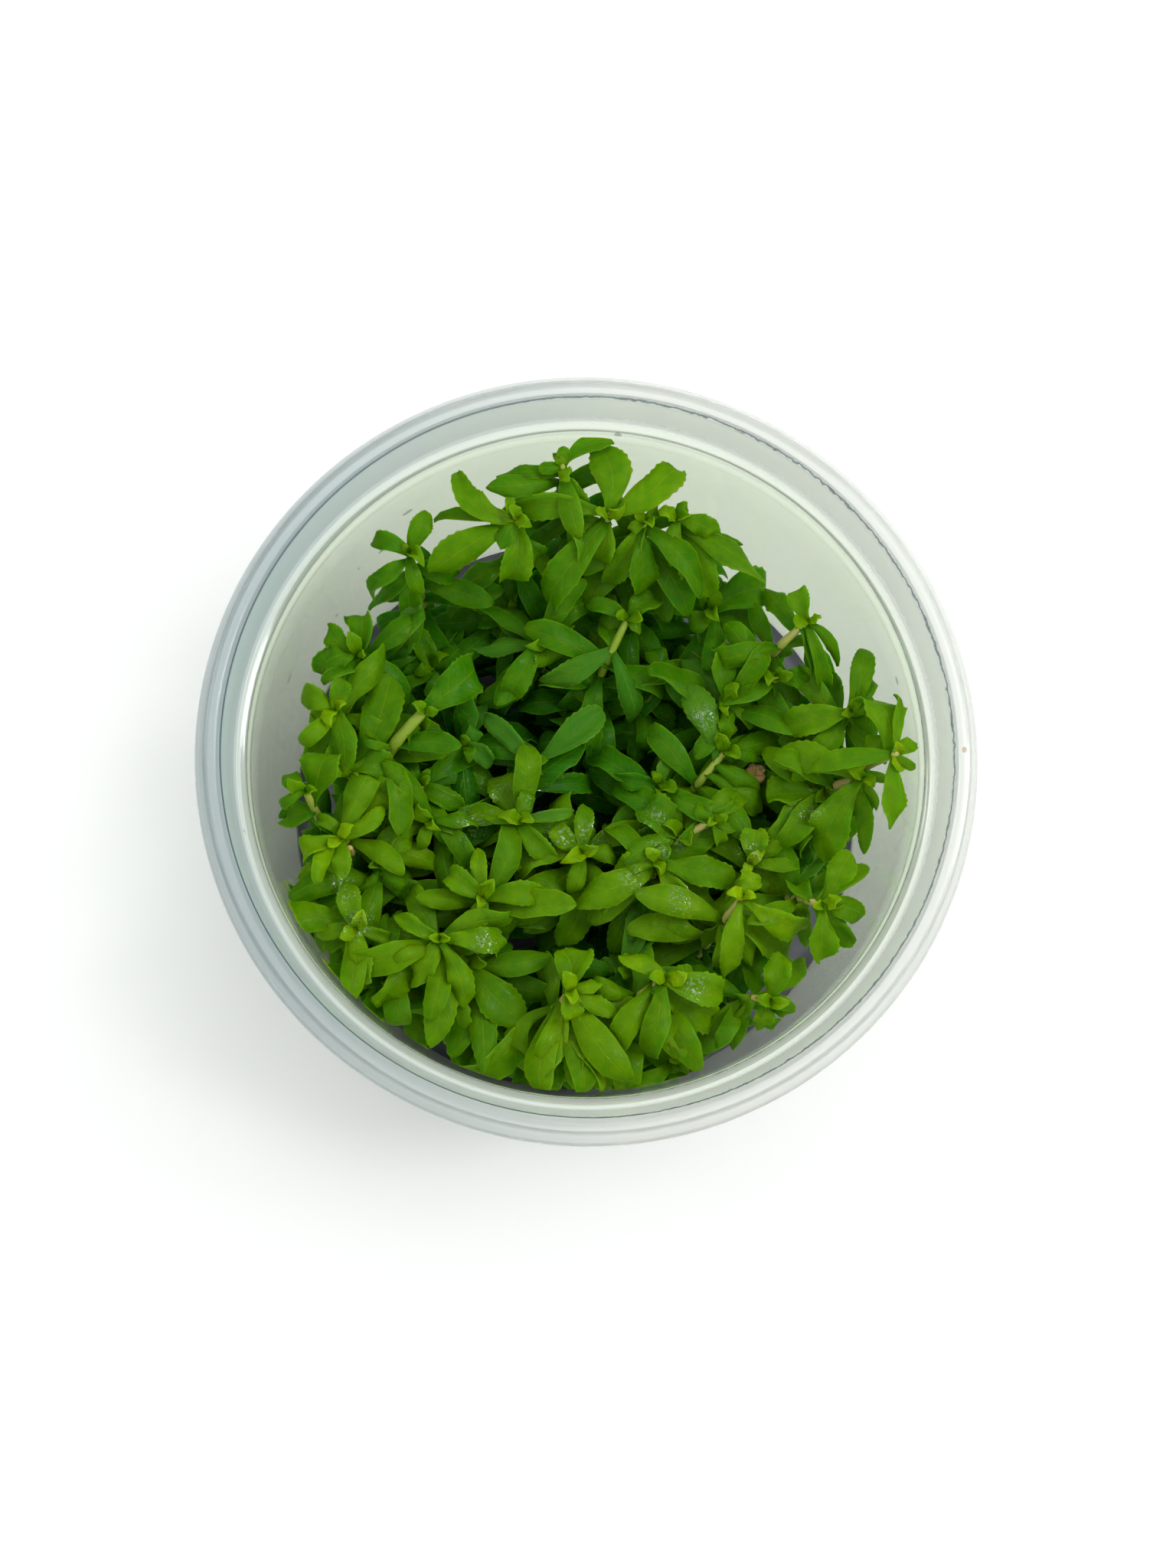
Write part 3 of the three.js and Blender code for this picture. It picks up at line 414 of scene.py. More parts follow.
def modelLeafForm(name, form):
    form["places"], form["columns"] = (fineRows, 4) if name in fineForms else (coarseRows, 2)
    rows = formRows(form)
    bpy.ops.object.select_all(action="DESELECT")
    bpy.ops.mesh.primitive_plane_add(size=1, location=(0, 0.5, 0))
    leaf = bpy.context.object
    leaf.name = name + "_form"
    bpy.ops.object.transform_apply(location=True, rotation=True, scale=True)
    bpy.ops.object.mode_set(mode="EDIT")
    bpy.ops.mesh.select_mode(type="EDGE")
    bpy.ops.mesh.select_all(action="DESELECT")
    mesh = bmesh.from_edit_mesh(leaf.data)
    for edge in mesh.edges:
        edge.select = abs(edge.verts[0].co.y - edge.verts[1].co.y) < 1e-6
    bmesh.update_edit_mesh(leaf.data)
    bpy.ops.mesh.subdivide(number_cuts=form["columns"] - 1)
    bpy.ops.mesh.select_mode(type="VERT")
    bpy.ops.mesh.select_all(action="SELECT")
    bpy.ops.transform.resize(value=(2 * rows[0][1], rows[1][0], 1), center_override=(0, 0, 0))
    selectWhere(leaf, lambda co: co.y > rows[1][0] / 2)
    bpy.ops.transform.resize(value=(rows[1][1] / rows[0][1], 1, 1), center_override=(0, 0, 0))
    for before, after in zip(rows[1:], rows[2:]):
        step = {"value": (0, after[0] - before[0], 0)}
        bpy.ops.mesh.extrude_region_move(TRANSFORM_OT_translate=step)
        bpy.ops.transform.resize(value=(after[1] / before[1], 1, 1), center_override=(0, 0, 0))
    toothed = [row for row in rows if row[0] > form["toothStart"]][1:-1:2]
    for along, half in toothed:
        selectWhere(leaf, lambda co: abs(co.y - along) < 1e-4 and abs(co.x) > half * 0.99)
        bpy.ops.transform.resize(value=(1 + form["tooth"], 1, 1), center_override=(0, 0, 0))
    bpy.ops.object.mode_set(mode="OBJECT")
    thicken = leaf.modifiers.new("thickness", "SOLIDIFY")
    thicken.thickness = formDepth
    thicken.offset = 0
    bpy.ops.object.modifier_apply(modifier=thicken.name)
    bpy.ops.object.mode_set(mode="EDIT")
    bpy.ops.mesh.select_all(action="SELECT")
    bpy.ops.mesh.normals_make_consistent(inside=False)
    bpy.ops.object.mode_set(mode="OBJECT")
    return dict(takeForm(leaf), rows=np.array(rows))


def takeForm(body):  # keeps a modelled form's points and faces, and removes its object
    points = np.array([vertex.co for vertex in body.data.vertices])
    faces = [tuple(face.vertices) for face in body.data.polygons]
    bpy.data.objects.remove(body)
    return {"points": points, "faces": faces}


stemRings = [(1.3, 0), (1.12, 0.1), (1.02, 0.2), (1.0, 0.3), (1.06, 0.34), (1.0, 0.38), (0.98, 0.5),
             (1.05, 0.54), (0.98, 0.58), (0.96, 0.7), (1.03, 0.74), (0.94, 0.78), (0.88, 0.9), (0.8, 0.97),
             (0.5, 1.0)]
stemSides = 8


def modelStemForm():  # a stem one unit high whose joints stand out a little
    profile = [(radius / mm, height / mm) for radius, height in stemRings]
    return takeForm(drawOutRings("stem_form", profile, stemSides))


# The camera's place when the photo was taken, and the level that leaf tips are read on
cameraLook = {"place": (-12.16, -59.2, 350.78), "target": (-0.2, -4.8, 56.0), "lens": 54.58,
              "sensorHeight": 36.0, "clipStart": 0.01}
sightHeight = 40.0

# Each plantlet's foot in the gel, its tip and its leaves, in millimetres. Tips are given where
# they show on the level sightHeight, and then slide along the line of sight to their own height.
# A leaf row gives its place along the stem, its tip and its width, and where they aren't the
# usual ones its arch and its sideways bow.
usualBend = (1, 0)
plantlets = {
    1: ((0, 9.5), (5.9, 21, 39.5), [(1, 10.3, 23.3, 39.5, 3.2), (0.78, -6, 11.8, 36.5, 3.4, 1.2),
        (0.78, 7.6, 4.8, 32.5, 3, 2.6), (0.8, 3, 20.2, 35.5, 2.5, 0.8), (1, 0.1, 22.7, 39.5, 2.2, 0.8),
        (1, 8, 18.9, 38.5, 1.7, 0.4)]),
    2: ((-7, -35.5), (-1.9, -29.4, 42), [(0.95, 0.3, -23.9, 40, 4.5), (1, -1.5, -33.4, 41.5, 3, 0.8),
        (1, 4.4, -32.5, 41.5, 2.4, 0.8), (0.9, 9.9, -32.2, 37.5, 4.8, 1.4),
        (0.75, -7.2, -40.6, 35, 3.1, 1.6, 3.4), (0.78, 4.3, -40.2, 36, 4.3, 2), (0.5, -2, -41, 30, 4, 1.2),
        (1, -3.6, -23.8, 42, 2, 0.8), (1, 2.3, -28.6, 42.5, 1.9, 0.6), (0.85, -6.6, -41.8, 39.5, 3.8, 1.2),
        (0.85, -1, -42.2, 39, 3.2), (0.85, 3.6, -42.2, 39.5, 3)]),
    3: ((-21, 23), (-23.7, 29.6, 46), [(1, -29.1, 31.2, 44.5, 2.6, 2.5), (1, -20.8, 35.6, 47, 3, 1.2),
        (0.95, -30, 23.6, 42.5, 3, 1.6), (0.8, -29, 21.8, 37.5, 3, 1.4), (0.7, -26, 13, 34, 3.2, 2),
        (0.97, -21.9, 23.7, 44, 2.2), (0.85, -17.2, 27, 38, 3.6), (0.8, -23, 20, 36, 3.2)]),
    4: ((-26, 15), (-30.5, 15.8, 43), [(0.97, -35.8, 13.2, 41.5, 4.4, 2.4), (1, -34.8, 19.4, 43.5, 3, 1.2),
        (0.95, -29.8, 21.5, 43, 3.2, 1.4), (0.8, -27.5, 11.5, 37, 3, 1.2)]),
    5: ((-29, 6.5), (-33.3, 7.9, 44), [(1, -32.4, 12.5, 45, 2.7, 0.8), (1, -38.8, 10.2, 42.5, 3.4, 1.8),
        (0.97, -31.6, -0.3, 42.5, 3.4, 1.2), (0.9, -36.6, 6.3, 39, 2.8), (0.85, -29.8, 12.6, 40, 2.6, 1.4),
        (0.75, -37, 0.5, 36, 3, 1.4)]),
    6: ((-30, -1.5), (-21.2, 8, 44), [(0.97, -12.6, 15.3, 41, 5.4, 1.6), (0.85, -21.3, 1.8, 34, 3.2),
        (1, -21.7, 5.1, 38.5, 2, 0.6)]),
    7: ((-26.5, -3.5), (-31.3, -0.8, 41), [(0.97, -26, 12.9, 42, 5.4), (1, -25.3, -0.2, 40, 3.8, 1.2),
        (0.85, -26.8, -4.6, 36, 2.6)]),
    8: ((-33, -10.5), (-37, -3, 44.5), [(0.95, -39.6, -0.5, 42, 2.6), (0.8, -39.8, -6.8, 37, 3.8, 1.2),
        (0.85, -34, 2.8, 44.5, 5.6, 1.4), (1, -41.2, -6, 41.5, 1.6, 3.4)]),
    9: ((-28.5, -8.5), (-32.3, -9.5, 42), [(1, -38.3, -11.6, 42, 2.9), (1, -26.3, -5.1, 42, 2.4, 0.8),
        (0.97, -31.9, -14.8, 42.5, 2.5), (0.85, -37.7, -16.4, 37.5, 5, 1.4),
        (0.72, -18.4, -13.2, 35, 3.3, 2), (0.8, -32, -18, 36.5, 1.4)]),
    10: ((-31, -16.5), (-30, -21.3, 42), [(1, -31.1, -15.2, 41, 3.2), (1, -28.7, -28.8, 41, 3.9, 1.4),
        (0.92, -35.1, -22.4, 39.5, 2.1), (0.85, -34, -24.4, 37, 2), (0.95, -24.6, -22.8, 40, 1.8, 0.8),
        (0.8, -23.4, -25.6, 36, 2.2)]),
    11: ((-22.5, -5), (-21.8, -1.9, 38), [(0.92, -26.9, -2, 35.5, 2.4), (0.9, -16.6, -5, 35, 3.1),
        (0.82, -15, -3.4, 32.5, 3.5, 1.2), (0.85, -14.4, 0.4, 33.5, 2.6, 1.2), (1, -23, -0.1, 39, 1.1, 0.2),
        (1, -20.6, 0, 39, 1.1, 0.2)]),
    12: ((-18.5, -9), (-20.3, -6.8, 38.5), [(1, -26, -3.9, 39, 1.9, 0.6), (1, -13.8, -7.1, 38.5, 2.2),
        (0.95, -21.6, -10.9, 37.5, 1.9), (0.95, -15.8, -8.8, 37, 1.8, 0.8)]),
    13: ((-17.5, 6.5), (-15.8, 3, 36.5), [(1, -12.3, 0.8, 36, 2.6), (0.9, -21, 2.9, 34.5, 2.6),
        (0.85, -13.2, 8.9, 33.5, 2.4), (1, -14.3, 6.1, 37, 2.2, 0.8)]),
    14: ((-8.5, 28), (-9.1, 34.6, 48), [(1, -17.3, 41.2, 46.5, 3.5, 2.6, -3),
        (0.97, -21, 26.8, 45, 4.6, 1.6), (1, -11.3, 30.5, 47.5, 2.6, 0.8),
        (0.92, -10.6, 24.3, 42.5, 4.2, 1.6), (0.85, -5.3, 28, 40, 3), (1, -15, 36.3, 47, 2, 0.8),
        (1, -10.5, 38, 49, 1.5, 0.4), (0.95, -21, 34.8, 44.5, 1.9, 1.6)]),
    15: ((-2.5, 34), (-3, 42.3, 49), [(0.92, -12, 40.6, 46.5, 2.5), (0.9, 0.3, 36, 45, 3),
        (1, -2.9, 45.4, 50, 2, 0.3), (1, -6.3, 42, 49.5, 2, 0.3), (1, 4, 45.6, 49.4, 2.6, 0.6, -1)]),
    16: ((2, 28), (3.3, 35.8, 48), [(1, 2.4, 44.6, 47.5, 5.4, 2.2), (0.97, 13.2, 44.4, 49, 4.8, 2, 1),
        (0.97, -9.7, 36.4, 45, 3.7, 1.2), (0.9, -3.6, 32.1, 44, 2.6), (0.92, -7.2, 20.4, 40.5, 4.5, 2),
        (0.92, 1.6, 27.8, 42.5, 3.2)]),
    17: ((7.5, 28), (8, 34.5, 46.5), [(0.95, 2.7, 25.8, 41, 3.5), (0.95, 8, 23.8, 41.5, 4, 1.2),
        (1, 9.8, 36.8, 46.5, 1.7, 0.4), (1, 6, 33.3, 46, 1.7, 0.4)]),
    18: ((12.5, 29), (12.6, 35, 46), [(1, 18.4, 33, 45.5, 3), (1, 12, 28.3, 45, 2.6, 0.8),
        (0.92, 24.8, 26.4, 43, 4, 1.6), (0.9, 17, 24, 40.5, 5, 1.6), (0.85, 12.5, 22.6, 38, 3, 1.2),
        (1, 13.8, 37.2, 46.5, 1.8, 0.5), (0.9, 21.8, 31, 41.5, 2.2)]),
    19: ((22.5, 14), (30.3, 20.8, 45), [(1, 28.9, 25.5, 46, 3, 0.8), (0.92, 31.4, 10.8, 37, 2.4, 2),
        (0.88, 24.6, 25.6, 39, 3.2), (1, 34.2, 15, 41, 1.7, 2.2), (0.97, 32.6, 8.4, 38, 2.2, 2.2, 0.3)]),
    20: ((15.5, 18.5), (17.3, 22.4, 38), [(1, 17.8, 26.4, 36.5, 3.4, 0.8),
        (0.9, 23.6, 20.6, 35.5, 4.5, 1.2), (0.95, 13.4, 19.9, 36.5, 3, 0.8),
        (0.9, 16.6, 17.2, 34, 2.6, 0.8), (0.97, 26.6, 25.6, 36.5, 5.6, 1.2)]),
    21: ((17, 6), (19.2, 9.4, 40), [(1, 18.9, 17.6, 41, 3.3), (0.95, 20.2, 4.4, 38.5, 2.9),
        (0.85, 27.6, 9, 34.5, 3.2, 1.2), (0.88, 13, 15.8, 36, 3), (0.95, 22.6, 5.9, 38, 1.5, 0.5)]),
    22: ((20, 11), (26, 12.9, 41), [(1, 30.3, 11.4, 40, 2.7), (0.8, 22.6, 17.6, 34, 5, 1.2),
        (1, 26.3, 14.4, 42, 1.1, 0.2)]),
    23: ((11.5, -5.5), (19, 2.9, 38.5), [(0.9, 13.8, 11.6, 39, 4.2, 1.4),
        (0.88, 23.4, -2.2, 34.5, 2.4, 1.2), (0.8, 24.2, -5.6, 32, 4.4, 1.4),
        (0.95, 26.3, 4.4, 35.5, 3.2, 1.2), (1, 23.6, 1.6, 36.5, 1.7, 2), (0.95, 21.2, 1, 35.5, 1.8, 0.6)]),
    24: ((8.5, -4.5), (10.3, -1.6, 36.5), [(0.95, 3.8, -0.7, 35.5, 2.4), (0.85, 13.2, 6.2, 32, 3),
        (0.88, 4.6, -6.4, 32.5, 3.4), (1, 10.9, 1.8, 37.5, 1.9, 0.5), (0.92, 16, -3.7, 34, 1.9, 0.8)]),
    25: ((15.5, -13), (12.7, -8.5, 37.5), [(1, 7.2, -5, 37.5, 5.2), (0.92, 6, -10.2, 34, 4, 1.2),
        (0.85, 13.3, -3.8, 32, 2.6), (1, 14.5, -10.9, 36.5, 1.6, 0.5)]),
    26: ((9, -10.5), (17.3, -6.6, 40), [(0.9, 21.6, -3.2, 35.5, 3.4), (1, 15, -4.5, 40, 2.1, 0.6),
        (1, 19.9, -8.1, 39.5, 1.9, 0.6), (1, 18, -10.7, 38.5, 1.8, 0.8)]),
    27: ((-7, -10), (-8.7, -6.8, 39), [(1, -7.3, -2.4, 39, 2.4, 0.7), (0.95, -3.6, -12.3, 37.5, 3, 1.2),
        (0.85, -12.2, -0.6, 36.5, 4.6), (1, -13.2, -6.5, 39, 1.4, 0.6), (1, -1, -5.6, 39.5, 1.7, 0.8),
        (0.85, -14.2, -10.2, 34, 2.2)]),
    28: ((-12.8, -7.6), (-6.8, 0.8, 37), [(1, -13.6, 7.6, 36.5, 2.7), (1, 2.3, 7.8, 37.5, 4.2, 1.2),
        (0.8, 3.4, -2.2, 31, 2.8, 1.2), (0.95, -2.8, -1.1, 35.5, 1.2, 0.6)]),
    29: ((-5.5, 15), (-5.8, 18, 38), [(1, -11.2, 8, 37, 3.6, 1.4), (1, -5.4, 13.9, 38, 3.9, 0.6),
        (0.9, -14.8, 16.2, 34, 2.6), (0.95, -1.6, 20.4, 36, 3, 0.8)]),
    30: ((1.5, -14), (-0.4, -10.9, 38.5), [(1, 0.2, -4.3, 38.5, 2.6, 0.8), (1, -4.5, -6.9, 38, 2.9, 0.8),
        (1, 5.3, -12.4, 37.5, 2.4, 1.2), (0.97, -1.9, -17.2, 37.5, 2.4, 1.2), (0.75, -3, -24, 32, 5, 1.4),
        (0.8, -7.6, -5.2, 31.5, 3.6)]),
    31: ((8.5, -16.5), (9.6, -12.3, 40), [(1, 3.8, -14, 39, 3), (0.95, -2, -18, 36.5, 4.3, 2),
        (1, 20, -14.5, 39.5, 4.3, 1.6), (0.97, 14, -18.3, 38.5, 3.6, 1.2),
        (0.75, 3.6, -25.2, 32.5, 3.6, 1.4), (0.75, 12.7, -24.6, 32.5, 2.9, 1.4),
        (1, 10.9, -10, 40, 2, 0.4)]),
    32: ((4.5, -28.5), (5, -26, 35), [(1, 8, -16.4, 35.5, 3.5), (0.95, 10, -21, 33.5, 2.9),
        (0.9, 1.4, -26.8, 32, 2.4, 0.8)]),
    33: ((-14.5, -20), (-13.3, -17.1, 40), [(1, -18.7, -13.3, 40, 3.3), (0.97, -15.4, -21.6, 38.5, 3),
        (0.97, -4.8, -16.6, 39, 3.3, 1.4), (0.85, -3, -14.9, 35.5, 2.4, 1.6),
        (0.8, -7.6, -21.6, 33, 4.6, 1.2), (1, -14, -10.3, 39.5, 2.2)]),
    34: ((-20.5, -27), (-19, -22.6, 41.5), [(0.97, -22.5, -28.8, 40, 3.2, 1.4),
        (1, -15.3, -32, 40, 3.3, 1.4), (1, -10, -23.4, 41, 3.3, 1.2), (0.8, -16, -38.6, 34, 4.7, 2),
        (1, -25, -19.3, 41.5, 2.2), (0.85, -19.8, -37, 40, 4.2, 1.4)]),
    35: ((-25, -25.5), (-25.6, -28, 36.5), [(1, -18.8, -33.1, 35.5, 3.1, 1.2),
        (0.92, -27.8, -31.2, 34, 2.6, 0.8), (0.85, -21, -25.4, 32.5, 2.6)]),
    36: ((-13.5, -28), (-15.2, -25.8, 37.5), [(1, -8.4, -33.6, 36.5, 5.4, 1.4),
        (0.92, -9.9, -28.2, 34, 3.4), (0.6, -12.2, -39.4, 30, 2.2, 1.4), (0.75, -8.8, -23.8, 31, 4.2),
        (0.85, -13, -40.2, 39, 3.6, 1.2), (0.85, -5.8, -25.8, 32, 3.4)]),
    37: ((3.5, -32.5), (10.8, -27.5, 42), [(1, 4.5, -25, 42, 2.9, 1.2), (0.97, 18.7, -29.5, 40.5, 4.4, 1.6),
        (0.97, 10.2, -35.8, 39, 3.1, 1.2, 1.6), (0.85, 17.8, -33.5, 36.5, 4.5, 1.4),
        (1, 14.8, -26.8, 42.5, 1.9, 0.6)]),
    38: ((4.5, -36.5), (12.3, -38.4, 37), [(0.9, 15, -36.3, 36, 2.2, 0.8), (1, 13.9, -40, 36.5, 2, 0.6),
        (0.85, 4.6, -40.6, 34, 1.8, 1, 1)]),
    39: ((16.5, -22.5), (21, -16.9, 42.5), [(1, 21.6, -12.9, 42.5, 3.1, 0.6),
        (0.97, 19.3, -28, 40, 3.5, 1.8), (0.97, 29.8, -21.4, 40.5, 3.9, 1.8),
        (0.75, 27, -24.9, 34.5, 5.2, 1.4), (0.7, 17.6, -23.8, 32, 4), (0.85, 21.8, -25.8, 38, 2.6)]),
    40: ((22.5, -14.5), (22, -12.4, 39.5), [(1, 23, -8, 40.5, 3.7, 0.8), (0.85, 27.2, -16.4, 34.5, 3.4),
        (0.85, 28.4, -10.4, 34, 4.2), (1, 28.2, -13, 40, 1.9)]),
    41: ((25.5, -15.5), (31.6, -18.2, 43), [(1, 35.6, -10.6, 43.5, 3.7), (0.92, 37.6, -13, 40, 2.7),
        (0.97, 37.4, -19.4, 42, 3.6, 1.4), (0.97, 31, -25.3, 42, 3.7, 1.4),
        (0.9, 35.6, -23, 40.5, 3.4, 1.2), (0.85, 27.4, -14.8, 38, 3), (0.8, 28.2, -20.8, 37, 3.2),
        (1, 34.4, -17.8, 43.5, 1.7, 0.4)]),
    42: ((17.5, -29.5), (24.6, -30.6, 41), [(1, 22.5, -34.5, 40, 2.7), (0.97, 26, -24.3, 41.5, 3.6),
        (0.9, 29.3, -25.1, 38, 2.7), (0.8, 22, -25.4, 34, 4), (0.97, 26, -33.6, 38.5, 1.9, 1, 1.6),
        (0.72, 15.4, -38.4, 33, 2.2, 1.6, 1.4), (0.8, 20.4, -31.8, 37.5, 3.4), (0.95, 28, -32.8, 39, 2.8),
        (0.8, 18.6, -37.4, 35, 2.6, 1.2)]),
    43: ((32.5, 0.5), (42, 2.6, 49), [(0.9, 38.5, 11.4, 47, 5.5, 1.2), (0.97, 41, -7.6, 46.5, 3.5, 1.2, 1),
        (0.97, 29.8, 0.6, 46, 2.8, 1.2), (1, 42.8, 11.2, 47.5, 1.5), (1, 45, 4.1, 49.5, 2.2, 0.6),
        (1, 44.9, 0.4, 48, 1.4, 1.6), (0.85, 38.4, 5, 44.5, 3)]),
    44: ((30, -2.5), (37.2, -0.8, 44), [(0.97, 31.6, -12.3, 42, 5.4, 1.4), (0.9, 37.2, -11, 38.5, 2.5, 1.4),
        (0.95, 25, 2.1, 42, 4.2, 1.4), (0.95, 39.4, -5.2, 41, 1.3, 0.8)]),
    45: ((29.5, 5), (36, 8.4, 43.5), [(1, 26.6, 6.1, 40.5, 4.3, 1.4), (0.97, 37.8, 18, 43, 3.2, 1.6, 1),
        (0.85, 33.5, 13.6, 38, 2.6), (0.9, 36.6, 2.4, 38, 1.5)]),
    46: ((-28, -21.5), (-26.9, -13, 38.5), [(0.85, -20.6, -17.6, 31.5, 3.4),
        (0.97, -23.6, -7, 37.5, 4.4, 1.2), (1, -31, -16.4, 35.5, 1.4, 1.6, -1),
        (1, -22.2, -15.6, 36.5, 1.4, 1.2, 1)]),
    47: ((31, -9), (32.4, -3.2, 39), [(1, 24.3, -3.4, 38.5, 4.5, 1.2), (0.85, 30.5, -13, 35, 3.6, 1.2)]),
    48: ((2, 3), (1.5, 5, 28), [(0.95, -3.4, 7.4, 26, 3.2, 0.8), (0.95, 6.4, 4.8, 26, 3.2, 0.8),
        (0.9, 2.2, -1.6, 25.5, 3, 0.8), (0.9, 0.5, 11, 25.5, 3, 0.8)]),
    49: ((6.5, 9.5), (7, 10.2, 31), [(1, 12.4, 7.2, 30, 2.4, 0.8), (1, 3, 8.6, 29.5, 3, 0.8),
        (0.95, 8.2, 3.9, 28.5, 3.2, 0.8), (0.95, 6.4, 15.2, 29.5, 3, 0.8)]),
    50: ((-9.5, 20.5), (-10, 21.4, 32), [(1, -15.2, 21, 31, 3.2, 0.8), (0.97, -10.6, 26.6, 31, 3, 0.8),
        (0.95, -8.8, 15.6, 30.5, 3.2, 0.8), (0.97, -17.5, 24.6, 33, 4), (0.9, -13, 29, 34, 3.6)]),
    51: ((-20, 13.5), (-20.5, 14, 31), [(1, -24, 11.4, 30, 3, 0.8), (1, -16.6, 17.2, 31, 4.2, 0.8),
        (0.95, -19.5, 8.4, 29.5, 3.2, 0.8), (0.95, -24.4, 18.6, 32, 3.4, 0.8)]),
    52: ((26, -8), (26.6, -7.6, 30.5), [(1, 31, -7.4, 30, 3, 0.8), (1, 22.6, -9.6, 29.5, 3, 0.8)]),
    53: ((12, 12.5), (11.5, 13.5, 33), [(1, 8.6, 17.2, 33, 3, 0.8), (1, 14.6, 9.6, 31.5, 2.6, 0.8)]),
}

# What a user would change about the plants, in millimetres
plantLook = {
    "stemRadius": 0.6, "thickStems": {6: 0.85}, "stemRoot": 4.8, "stemTone": 0.4, "usualBlush": 0.22,
    "blushAtFoot": 0.4, "blushRise": 0.8,
    "leanEarly": (0.35, 0.75), "leanLate": (0.06, 1.02), "stubLength": 4, "stubBlush": 1.2,
    "highest": 50.0, "easeFrom": 46.0, "wallZone": 25.0, "wallFrom": -12.0,
}
# How each leaf is bent, folded and rippled, in degrees, millimetres and shares of its size
leafShape = {
    "thickness": 0.4, "petiole": 0.75, "breadth": 0.98, "roll": 36, "fold": 0.28, "foldRange": (-0.5, 1.4),
    "foldCurve": 1.15, "tipCurl": 0.1, "curlRange": (-0.6, 1.6), "curlFrom": 0.62, "curledShare": 0.2,
    "strongCurl": 2.6, "waviness": 0.12, "waveRange": (0.4, 1.5), "ripples": (1.3, 2.6), "sway": 0.5,
    "thickFoot": 0.25, "thinMargin": 0.55, "clearance": 0.3, "underBlue": 0.25, "toneSwing": 0.05,
    "paintedFootShade": 0.1,
}
# The widths from which a leaf takes a broader form, and the forms that it is drawn from
leafKinds = [(3.6, ["spoon", "paddle", "oblong", "lance"]), (2.3, ["spoon", "oblong", "oblong", "lance"]),
             (0, ["oblong", "young"])]
# How the solid leaf was kept clear of its neighbours
solidLeaf = {"keel": 0.55, "highestLeaf": 0.96, "wallClearance": 0.5, "sides": 32, "close": 0.35,
             "lifts": (0, 1, -1, 2, -2, 3, -3, 4, -4, 5, -5, 6, -6, 7.5, -7.5)}

# How yellow-green a plantlet is against its neighbours, and how far its stem has turned pink-brown
plantletTone = {
    2: 0.1, 3: -0.08, 4: -0.1, 5: 0.08, 6: -0.06, 7: 0.02, 8: -0.1, 9: 0.16, 10: 0.14, 11: -0.06, 13: -0.16,
    14: -0.02, 15: -0.06, 20: -0.08, 21: -0.04, 22: -0.04, 24: -0.04, 27: 0.12, 28: -0.12, 30: 0.14,
    31: 0.1, 32: -0.14, 33: 0.12, 34: 0.12, 35: 0.02, 37: 0.08, 39: 0.18, 40: 0.16, 41: 0.04, 43: 0.03,
    44: 0.02,
}
stemBlush = {
    1: 0.08, 2: 0.8, 3: 0.4, 6: 0.15, 8: 0.4, 10: 0.3, 14: 0.3, 16: 0.3, 18: 0.45, 19: 0.6, 23: 0.25,
    26: 0.65, 28: 0.2, 37: 0.65, 39: 0.7, 41: 0.65, 42: 0.8, 43: 0.5, 44: 0.8, 46: 0.4,
}
# Plantlets whose stems rise first and lean over near the top, where they show between the leaves
lateLeaning = (1, 6, 19, 23, 26, 28, 37, 39, 41, 42, 44)
# Bare stubs that stand up among the leaves: their tops and their radii, in millimetres
bareStubs = {9: [(-31, -10.6, 42.5, 0.45)], 12: [(-10.5, -7.8, 37.5, 0.65)], 39: [(22.5, -25.5, 33, 0.7)]}
# Leaves with a blue-green cast, by plantlet and place in its row of leaves
blueLeaves = {
    1: {1: 0.5, 2: 0.35}, 3: {4: 0.7}, 11: {3: 0.4}, 13: {0: 0.6, 1: 0.7, 2: 0.6, 3: 0.5}, 20: {3: 0.5},
    21: {3: 0.6}, 23: {0: 0.45}, 24: {3: 0.5}, 27: {4: 0.5}, 28: {0: 0.6, 1: 0.45, 3: 0.5}, 29: {2: 0.5},
    32: {0: 0.6, 1: 0.5, 2: 0.4}, 37: {2: 0.5},
}
# Wet places that catch the light, where they show on the level sightHeight, in millimetres
wetLook = {
    "places": [
        (-30, -21), (0.8, -8.5), (-3, -9), (6.5, -14.6), (13, -17), (8.8, -6.5), (10.5, -10), (-12.3, -3),
        (15.8, 7.2), (-13, -23.5), (-6.3, -4), (-15, -7.3), (22.2, -11.7), (30, -5), (14.5, -29),
        (-31.5, -16)],
    "reach": 2.2, "strength": 1.6, "from": 32, "fade": 4,
}


def unit(vectors):
    return vectors / np.maximum(np.linalg.norm(vectors, axis=-1, keepdims=True), 1e-9)


def seenAt(x, y, z):  # slides a place on the level sightHeight along its line of sight
    eye = np.array(cameraLook["place"])
    return eye + (np.array([x, y, sightHeight]) - eye) * (eye[2] - z) / (eye[2] - sightHeight)


def insideWall(points, clearance):
    points = np.array(points, dtype=float)
    limit = innerRadius(points[..., 2]) * math.cos(math.pi / solidLeaf["sides"]) - clearance
    reach = np.linalg.norm(points[..., :2], axis=-1)
    points[..., :2] *= np.minimum(1, limit / np.maximum(reach, 1e-9))[..., None]
    return points


def settleTop(height):  # eases what stands too high under the highest level and keeps its thickness
    start, room = plantLook["easeFrom"], plantLook["highest"] - plantLook["easeFrom"]
    return np.where(height < start, height, start + room * np.tanh((height - start) / room))


def pointOn(curve, at):
    at = np.asarray(at, dtype=float)[..., None]
    return (1 - at) ** 2 * curve[0] + 2 * at * (1 - at) * curve[1] + at ** 2 * curve[2]


def alongCurve(curve, at):
    at = np.asarray(at, dtype=float)[..., None]
    return unit((1 - at) * (curve[1] - curve[0]) + at * (curve[2] - curve[1]))


